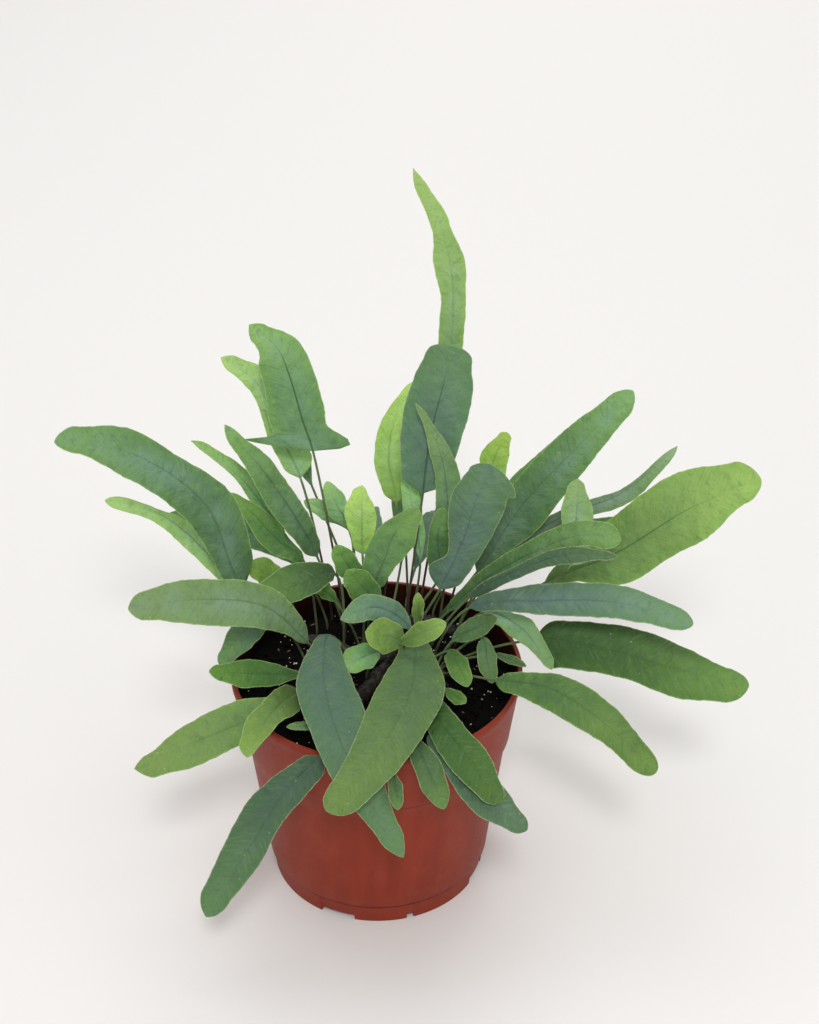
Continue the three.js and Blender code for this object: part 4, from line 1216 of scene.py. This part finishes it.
# Fronds of the plant by group, each list the fronds of one node
FRONDS: dict[str, list[list[Frond]]] = {
    "frond_back": [
        [Frond((18, 46), ((30, 57, 184), (30, 62, 213), (31, 66, 241), (26, 70, 266), (15, 74, 290)),
               ((4, 5, 6, 4, 3), (4, 5, 5, 5, 2)), (-90, 20), Tint.LIGHT, point=0.9, wave=(1, 2),
               lobes=((0.63, 1, 0.34), (0.46, 1, -0.16), (0.6, -1, 0.2), (0.73, -1, -0.18),
                      (0.84, -1, 0.25)), tone=(1, 1.1, 0.55, 0.32), rib=0.1)],
        [Frond((12, 36), ((19, 34, 164), (22, 39, 188), (27, 46, 208), (31, 50, 224)),
               ((10, 12, 13, 12, 10), (10, 12, 13, 12, 9)), (-90, 25), Tint.BLUE, point=0.4,
               wave=(0.8, 2), tone=(1.2, 0.95, 0.3, 0), rib=0.9)],
        [Frond((2, 46), ((8, 48, 150), (5, 54, 166), (7, 60, 181), (16, 64, 199)),
               ((5, 6, 6, 5, 3), (5, 8, 9, 9, 5)), (-90, 25), Tint.YELLOW, point=0.7,
               tone=(0.8, 1.15, 0.4, 0))],
        [Frond((26, 32), ((30, 30, 144), (29, 30, 163), (26, 32, 184), (16, 35, 206)),
               ((4, 5, 4, 4, 1), (4, 5, 6, 4, 2)), (-90, 25), Tint.GREY, point=0.8,
               tone=(1.6, 1.1, 0.3, 0))],
        [Frond((-14, 36),
               ((-26, 44, 178), (-30, 48, 190), (-35, 54, 207), (-40, 57, 219), (-51, 60, 228)),
               ((11, 13, 11, 10, 5), (8, 10, 10, 9, 4)), (-90, 25), Tint.GREEN, fold=0.05, point=1,
               lobes=((0.1, 1, 1.3), (0.02, -1, 1.8)), tone=(1.12, 1.36, 0.6, 0.1), rib=0.9)],
        [Frond((-20, 44), ((-32, 53, 159), (-41, 60, 177), (-49, 66, 196), (-64, 70, 207)),
               ((5, 5, 4, 4, 3), (8, 10, 9, 7, 4)), (-90, 30), Tint.LIGHT, point=1,
               tone=(1.3, 1.3, 0.6, 0.2))],
        [Frond((30, 42), ((45, 52, 154), (47, 54, 162), (50, 56, 170), (54, 58, 178)),
               ((4, 4, 6, 5, 3), (6, 7, 6, 5, 3)), (-90, 30), Tint.YELLOW, point=0.5,
               tone=(1.05, 0.85, 0, 0.2))],
    ],
    "frond_left": [
        [Frond((-14, 30), ((-25, 33, 133), (-34, 35, 152), (-47, 37, 174), (-61, 40, 193)),
               ((5, 7, 8, 6, 4), (4, 5, 5, 5, 2)), (-70, 40), Tint.GREEN, point=0.8, fold=0.35,
               tone=(0.74, 1.3, 0.5, 0))],
        [Frond((-22, 38), ((-39, 47, 134), (-48, 50, 147), (-57, 53, 159), (-77, 58, 174)),
               ((2, 3, 3, 2, 1), (2, 3, 4, 4, 3)), (-90, 50), Tint.GREEN, point=0.9,
               tone=(1.75, 1.5, 0.5, 0.15))],
        [Frond((-26, 20), ((-55, 20, 126), (-69, 19, 169), (-97, 16, 195), (-125, 10, 204)),
               ((6, 10, 11, 10, 4), (10, 11, 8, 9, 7)), (-80, 50), Tint.GREEN, point=0.65, wave=(0.8, 2),
               tone=(0.92, 1.05, 0.85, 0))],
        [Frond((-30, 26), ((-58, 31, 116), (-73, 33, 138), (-89, 34, 153), (-111, 33, 161)),
               ((3, 5, 5, 4, 3), (3, 3, 4, 2, 3)), (-90, 55), Tint.LIGHT, point=0.7,
               tone=(1.6, 1.15, 0.8, 0.25))],
        [Frond((-26, 34), ((-31, 36, 129), (-41, 37, 138), (-51, 40, 149), (-61, 43, 158)),
               ((4, 6, 6, 4, 2), (2, 4, 5, 4, 2)), (-90, 50), Tint.GREEN, point=0.8,
               tone=(1.2, 1.2, 0, 0))],
        [Frond((-34, 34), ((-38, 32, 115), (-46, 33, 124), (-54, 34, 128)), 12, (-90, 60), Tint.YELLOW,
               tone=(0.68, 0.75, 0, -0.5))],
        [Frond((-14, 18), ((-17, 15, 137), (-30, 10, 136), (-47, 5, 131)),
               ((4, 6, 7, 7, 5), (4, 7, 9, 9, 7)), (-90, 60), Tint.GREEN, tone=(0.28, 0.88, 0.05, -0.2))],
        [Frond((-20, 10), ((-28, 0, 113), (-45, -11, 140), (-72, -22, 151), (-96, -28, 151)),
               ((3, 9, 11, 10, 6), (5, 8, 8, 8, 6)), (-85, 50), Tint.LIGHT, point=0.7, wave=(0.6, 3),
               tone=(0.72, 0.62, 0.9, 0), rib=0.5)],
        [Frond((-30, 10), ((-43, 5, 124), (-50, 3, 120), (-56, 0, 116), (-64, -6, 106)),
               ((4, 6, 7, 7, 4), (3, 4, 6, 5, 3)), (-90, 60), Tint.BLUE,
               tone=(0.65, 1.05, 0, 0), rib=0.25)],
        [Frond((-24, 2), ((-30, -12, 106), (-48, -19, 112), (-66, -28, 120)),
               ((2, 5, 6, 7, 4), (2, 4, 6, 5, 3)), (-80, 60), Tint.GREEN, point=0.7,
               tone=(0.62, 1.05, 0, -0.35))],
        [Frond((-18, -12), ((-34, -28, 105), (-52, -40, 104), (-73, -51, 102), (-94, -60, 97)),
               ((3, 7, 9, 10, 7), (5, 9, 9, 7, 3)), (-80, 60), Tint.LIGHT, point=0.9,
               tone=(0.85, 0.6, 0, 0))],
        [Frond((-20, -4), ((-30, -24, 107), (-41, -44, 111), (-50, -60, 103)),
               ((5, 7, 5, 4, 2), (6, 6, 6, 7, 5)), (-80, 60), Tint.YELLOW, tone=(0.24, 0.7, 0.3, -0.4))],
        [Frond((-12, -15), ((-20, -38, 103), (-27, -42, 104), (-35, -44, 105)), 4, (-80, 60),
               Tint.GREEN)],
    ],
    "frond_front": [
        [Frond((-6, -16), ((-21, -62, 105), (-34, -74, 98), (-49, -79, 73), (-67, -84, 41)),
               ((6, 7, 6, 7, 5), (5, 7, 10, 9, 7)), (-100, 35), Tint.BLUE, point=0.7, wave=(0.6, 2),
               tone=(0.44, 0.9, 0.25, -0.1))],
        [Frond((-10, 8), ((-19, 1, 116), (-20, -33, 115), (-9, -66, 104), (11, -80, 69)),
               ((6, 11, 13, 10, 5), (5, 11, 10, 9, 5)), (-90, 60), Tint.BLUE, point=0.8,
               tone=(0.74, 1, 0.25, 0))],
        [Frond((10, 2), ((15, -1, 115), (14, -36, 116), (2, -65, 111), (-18, -86, 98)),
               ((6, 13, 12, 11, 9), (6, 12, 13, 10, 6)), (-90, 60), Tint.GREY, point=0.55,
               tone=(0.75, 0.79, 0, 0.12), rib=0.15)],
        [Frond((14, -8), ((19, -30, 108), (27, -50, 109), (38, -65, 104), (49, -76, 94)),
               ((6, 7, 7, 7, 4), (5, 6, 8, 8, 6)), (-80, 50), Tint.GREEN,
               tone=(0.57, 0.56, 0, -0.4), rib=0.15)],
        [Frond((20, -16), ((22, -48, 106), (37, -67, 97), (59, -80, 83)),
               ((4, 6, 7, 7, 4), (4, 5, 7, 8, 5)), (-80, 50), Tint.BLUE, point=0.7,
               tone=(0.9, 0.7, 0.4, 0))],
    ],
    "frond_right": [
        [Frond((30, 18), ((44, 14, 118), (59, 2, 119), (71, -15, 111)),
               ((2, 3, 5, 4, 3), (4, 5, 6, 4, 2)), (-80, 50), Tint.GREY, point=0.7, fold=0.3,
               tone=(2.1, 1.2, 0.5, 0))],
        [Frond((24, 14), ((38, 4, 128), (68, -5, 138), (97, -12, 142), (126, -18, 136)),
               ((4, 7, 7, 7, 5), (4, 6, 7, 7, 5)), (-95, 55), Tint.BLUE, wave=(0.6, 2),
               tone=(0.66, 1.18, 0.55, 0))],
        [Frond((32, 8), ((65, 2, 113), (91, -6, 115), (121, -16, 112), (150, -22, 108)),
               ((8, 10, 11, 9, 5), (12, 11, 10, 12, 9)), (-95, 50), Tint.GREEN, wave=(0.8, 2), shade=0.45,
               tone=(0.54, 0.88, 0, -0.12))],
        [Frond((26, 0), ((48, -22, 111), (69, -34, 116), (89, -48, 111), (110, -60, 95)),
               ((4, 6, 8, 7, 5), (5, 8, 9, 7, 6)), (-90, 55), Tint.GREEN, point=0.5, wave=(0.8, 3),
               tone=(0.88, 0.73, 0, 0.1))],
        [Frond((26, 38), ((42, 36, 123), (59, 40, 152), (82, 45, 179), (104, 50, 203)),
               ((6, 8, 9, 8.5, 5.5), (5, 11, 10, 8, 6)), (-80, 40), Tint.GREEN, point=0.65,
               tone=(0.64, 1.3, 0.8, 0), rib=0.2)],
        [Frond((34, 32), ((50, 44, 122), (77, 48, 142), (102, 50, 153), (124, 52, 175)),
               ((2, 3, 3, 1.5, 1.5), (3, 3, 4, 5, 3)), (-80, 50), Tint.GREY, point=0.8,
               tone=(0.44, 1.5, 1, 0.1))],
        [Frond((33, 27), ((70, 28, 123), (99, 27, 139), (127, 24, 163), (154, 20, 180)),
               ((5, 12, 14.5, 15, 10.5), (4, 13, 13, 14, 7)), (-85, 45), Tint.LIGHT, point=0.58,
               wave=(0.8, 2), tone=(0.66, 1.05, 0, 0.05), rib=0.9)],
        [Frond((33, 21), ((80, 24, 135), (81, 23, 153), (81, 23, 165), (81, 23, 178)),
               ((5, 5, 6, 6, 4), (6, 6, 7, 6, 3)), (-90, 25), Tint.LIGHT, point=0.7,
               tone=(1.45, 0.93, 0.7, 0))],
        [Frond((20, 24), ((29, 22, 112), (42, 19, 129), (62, 13, 148), (82, 9, 160), (98, 6, 160)),
               ((2.5, 4, 5, 6, 6), (2, 3, 4, 4, 5)), (-80, 45), Tint.GREEN, point=0.7,
               tone=(0.85, 1, 0.3, 0))],
        [Frond((22, 18), ((38, 11, 128), (58, 4, 147), (77, -1, 158), (96, -4, 159)),
               ((2, 2, 3, 3, 2), (3, 3, 3, 4, 2)), (-80, 40), Tint.BLUE, point=0.8,
               tone=(0.65, 0.65, 0.2, -0.1))],
    ],
    "frond_mid": [
        [Frond((14, 24), ((26, 14, 130), (35, 13, 155), (40, 14, 174), (45, 16, 190)),
               ((7, 6, 9, 10, 7), (7, 9, 11, 12, 9)), (-90, 20), Tint.BLUE,
               lobes=((0.88, -1, 0.55), (0.24, 1, -0.35), (0.11, 1, 0.2)), tone=(0.95, 0.9, 0.5, 0))],
        [Frond((10, 30), ((26, 24, 130), (25, 24, 147), (27, 26, 162)),
               ((5, 5, 4, 4, 3), (4, 4, 5, 4, 3)), (-90, 20), Tint.GREEN, point=0.7,
               tone=(0.8, 1.1, 0.4, -0.1))],
        [Frond((4, 26), ((-1, 16, 128), (3, 17, 142), (8, 19, 155), (17, 22, 165)),
               ((6, 8, 8, 6, 3), (4, 5, 8, 9, 5)), (-90, 25), Tint.GREY, point=0.8, fold=0.2,
               tone=(1.3, 1.12, 0, -0.1))],
        [Frond((13, 8), ((14, 0, 120), (0, -4, 134), (-14, -12, 134)), 11, (-90, 40), Tint.BLUE,
               point=0.7, tone=(1.25, 1.1, 0.4, 0))],
        [Frond((-4, 34), ((-6, 32, 135), (-6, 34, 151), (-6, 38, 165)),
               ((4, 5, 7, 7, 4), (4, 5, 6, 5, 2)), (-90, 25), Tint.YELLOW, point=0.8,
               tone=(1.15, 1, 0.4, 0))],
        [Frond((-1, 15), ((1, 8, 126), (-6, 9, 135), (-12, 10, 142)), 12, (-90, 30), Tint.GREEN,
               tone=(0.8, 1, 0, -0.2))],
        [Frond((-4, 2), ((1, -4, 111), (-6, -10, 113), (-13, -16, 112)), 12, (-90, 60), Tint.GREEN,
               point=0.5, tone=(1.8, 1.6, 0.5, 0))],
    ],
    "young": [
        [Frond((-6, 23), ((-6, 24, 124), (-12, 25, 134), (-17, 28, 142)), 10, (-90, 30), Tint.GREEN,
               tone=(1.05, 1.3, 0, -0.2)),
         Frond((-8, 22), ((-17, 20, 119), (-21, 20, 124), (-25, 20, 128)), 6, (-90, 30), Tint.GREEN,
               tone=(1.05, 1.3, 0, -0.2))],
        [Frond((5, 11), ((11, -12, 122), (4, -14, 127), (-4, -18, 132)), 14, (-90, 40), Tint.YELLOW,
               tone=(0.38, 0.72, 0.3, -0.35)),
         Frond((7, 11), ((10, -15, 124), (19, -17, 131), (28, -17, 136)), 9, (-90, 40), Tint.YELLOW,
               tone=(0.38, 0.72, 0.3, -0.35)),
         Frond((6, 13), ((16, 8, 115), (17, 8, 124), (17, 10, 131)), 5, (-90, 30), Tint.GREY,
               tone=(0.38, 0.72, 0.3, -0.35))],
        [Frond((17, 3), ((29, 2, 107), (33, -10, 109), (37, -20, 106)), 9, (-90, 60), Tint.LIGHT,
               tone=(0.48, 0.85, 0, -0.6)),
         Frond((17, 1), ((28, -20, 105), (32, -24, 104), (36, -28, 104)), 6, (-90, 60), Tint.GREEN,
               tone=(0.48, 0.85, 0, -0.6))],
        [Frond((27, 7), ((43, 6, 111), (45, -4, 108), (47, -14, 103)), 8, (-90, 60), Tint.GREY,
               tone=(1, 0.7, 0.3, -0.2)),
         Frond((27, 5), ((48, 1, 106), (54, -3, 107), (61, -8, 107)), 4, (-90, 60), Tint.GREY,
               tone=(1, 0.7, 0.3, -0.2)),
         Frond((25, 6), ((31, 5, 110), (40, 3, 118), (49, 1, 125)), 9, (-90, 50), Tint.GREEN,
               tone=(1, 0.7, 0.3, -0.2))],
        [Frond((15, 41), ((18, 37, 129), (15, 39, 150), (12, 43, 170)), 8, (-90, 20), Tint.GREY,
               tone=(2.6, 2.4, 0.3, 0)),
         Frond((13, 43), ((10, 54, 147), (7, 56, 156), (4, 58, 166)), 6, (-90, 20), Tint.BLUE,
               tone=(2.6, 2.4, 0.3, 0))],
        [Frond((-10, 41), ((-11, 44, 139), (-16, 46, 148), (-21, 50, 159)), 9, (-90, 30), Tint.GREY,
               tone=(1.6, 2.2, 0.3, 0)),
         Frond((-11, 43), ((-12, 52, 133), (-22, 56, 140), (-31, 58, 144)), 7, (-90, 30), Tint.BLUE,
               tone=(1.6, 2.2, 0.3, 0))],
        [Frond((7, -12), ((14, -52, 108), (21, -66, 101), (27, -72, 87)), 11, (-80, 50), Tint.GREY,
               tone=(0.46, 0.92, 0.1, -0.2)),
         Frond((5, -12), ((7, -68, 103), (8, -72, 97), (9, -76, 90)), 6, (-80, 50), Tint.LIGHT,
               tone=(0.46, 0.92, 0.1, -0.2))],
    ],
    "rear": [
        [Frond((6, 42), ((10, 56, 114), (14, 82, 138), (24, 102, 140)), 14, (-90, 70), Tint.GREEN)],
        [Frond((24, 46), ((40, 58, 118), (66, 76, 140), (92, 88, 164)), 16, (-80, 50), Tint.GREEN)],
        [Frond((-16, 48), ((-30, 54, 112), (-62, 68, 124), (-94, 74, 124)), 15, (-90, 60), Tint.GREEN)],
        [Frond((-8, 48), ((-28, 64, 148), (-38, 80, 166), (-46, 92, 182)), 12, (-90, 40), Tint.GREEN)],
        [Frond((36, 38), ((52, 50, 114), (84, 62, 122), (118, 66, 126)), 14, (-80, 60), Tint.GREEN)],
        [Frond((0, 52), ((-2, 58, 110), (-6, 86, 118), (-10, 108, 106)), 14, (90, 80), Tint.BLUE)],
        [Frond((12, 50), ((16, 58, 109), (26, 86, 115), (34, 110, 102)), 14, (90, 80), Tint.BLUE)],
    ],
}


# Studio

@dataclass(frozen=True)
class Panel:
    """Square light panel that looks at the plant; place and size in metres, power in watts."""

    name: str
    place: tuple[float, float, float]
    size: float
    power: float


@dataclass
class Studio:
    """Plain pale floor, soft light from large panels, and the camera at the picture's angle.

    Lengths are in mm, apart from the panels', the aim's and the far clip's, in metres.
    """

    elevation: float = 34.2
    distance: float = 933
    shift_right: float = 13.5
    shift_up: float = 63.8
    centre_z: float = 100.5
    focal_px: float = 2265
    frame_px: tuple[int, int] = (819, 1024)
    sensor: float = 36
    far_clip: float = 20
    floor_r: float = 3000
    floor_sides: int = 64
    paper: str = "#f3f1ef"
    sky: str = "#f4f3f2"
    sky_strength: float = 0.52
    aim: tuple[float, float, float] = (0, 0, 0.12)
    panels: tuple[Panel, ...] = (
        Panel("key_panel", (0.1, -2.05, 2.35), 0.45, 32),
        Panel("overhead_panel", (-0.1, 0.3, 1.6), 1.2, 7),
        Panel("left_panel", (-1.1, -1.1, 0.75), 0.9, 1.5),
        Panel("right_panel", (1.2, -0.9, 0.8), 0.9, 2),
        Panel("back_panel", (0.2, 1.4, 0.9), 1.0, 4),
    )

    def camera(self) -> None:
        """Stand the camera back along its line of sight and slide it in its own plane."""
        e = math.radians(self.elevation)
        back, up = np.array([0, -math.cos(e), math.sin(e)]), np.array([0, math.sin(e), math.cos(e)])
        place = np.array([self.shift_right, 0, self.centre_z]) + back * self.distance + up * self.shift_up
        data = bpy.data.cameras.new("camera")
        data.sensor_width, data.sensor_fit = self.sensor, "AUTO"
        data.lens = self.focal_px / max(self.frame_px) * self.sensor
        data.clip_end = self.far_clip
        camera = bpy.data.objects.new("camera", data)
        camera.location = place * MM
        camera.rotation_euler = (math.radians(90 - self.elevation), 0, 0)
        bpy.context.scene.collection.objects.link(camera)
        bpy.context.scene.camera = camera

    def floor(self) -> None:
        """Lay a round plain floor."""
        a, r = circle(self.floor_sides), self.floor_r * MM
        mesh = bpy.data.meshes.new("studio_floor")
        mesh.from_pydata(np.stack([r * np.cos(a), r * np.sin(a), 0 * a], -1).tolist(), [],
                         [tuple(range(self.floor_sides))])
        mesh.materials.append(Shader("matt pale paper").finish(
            Base_Color=self.paper, Roughness=0.95, Specular_IOR_Level=0.1))
        floor = bpy.data.objects.new("studio_floor", mesh)
        bpy.context.scene.collection.objects.link(floor)

    def hang(self, panel: Panel) -> None:
        """Hang one panel and turn it to the plant.

        Args:
            panel: the panel.
        """
        data = bpy.data.lights.new(panel.name, "AREA")
        data.size, data.energy = panel.size, panel.power
        light = bpy.data.objects.new(panel.name, data)
        x, y, z = np.array(self.aim) - panel.place
        light.location = panel.place
        light.rotation_euler = (math.atan2(math.hypot(x, y), -z), 0, math.atan2(y, x) - math.pi / 2)
        bpy.context.scene.collection.objects.link(light)

    def build(self) -> None:
        """Set the stage."""
        world = bpy.data.worlds.new("studio")
        world.use_nodes = True
        back = world.node_tree.nodes["Background"]
        back.inputs["Color"].default_value = srgb(self.sky)
        back.inputs["Strength"].default_value = self.sky_strength
        bpy.context.scene.world = world
        bpy.context.scene.view_settings.view_transform = "Standard"
        self.floor()
        for panel in self.panels:
            self.hang(panel)
        self.camera()


def main() -> None:
    """Set the stage, then build and dress each sub-assembly in order."""
    logging.basicConfig(level=logging.INFO, format="%(name)s: %(message)s")
    Studio().build()
    NurseryPot().build()
    SoilBed().build()
    Rhizome().build()
    skins = {tint: skin.material() for tint, skin in SKINS.items()}
    style = FrondStyle()
    nodes = [(f"{group}_{i}", fronds)
             for group, rows in FRONDS.items() for i, fronds in enumerate(rows, 1)]
    for number, (name, fronds) in enumerate(nodes):
        style.build(name, fronds, number, skins)


if __name__ == "__main__":
    main()
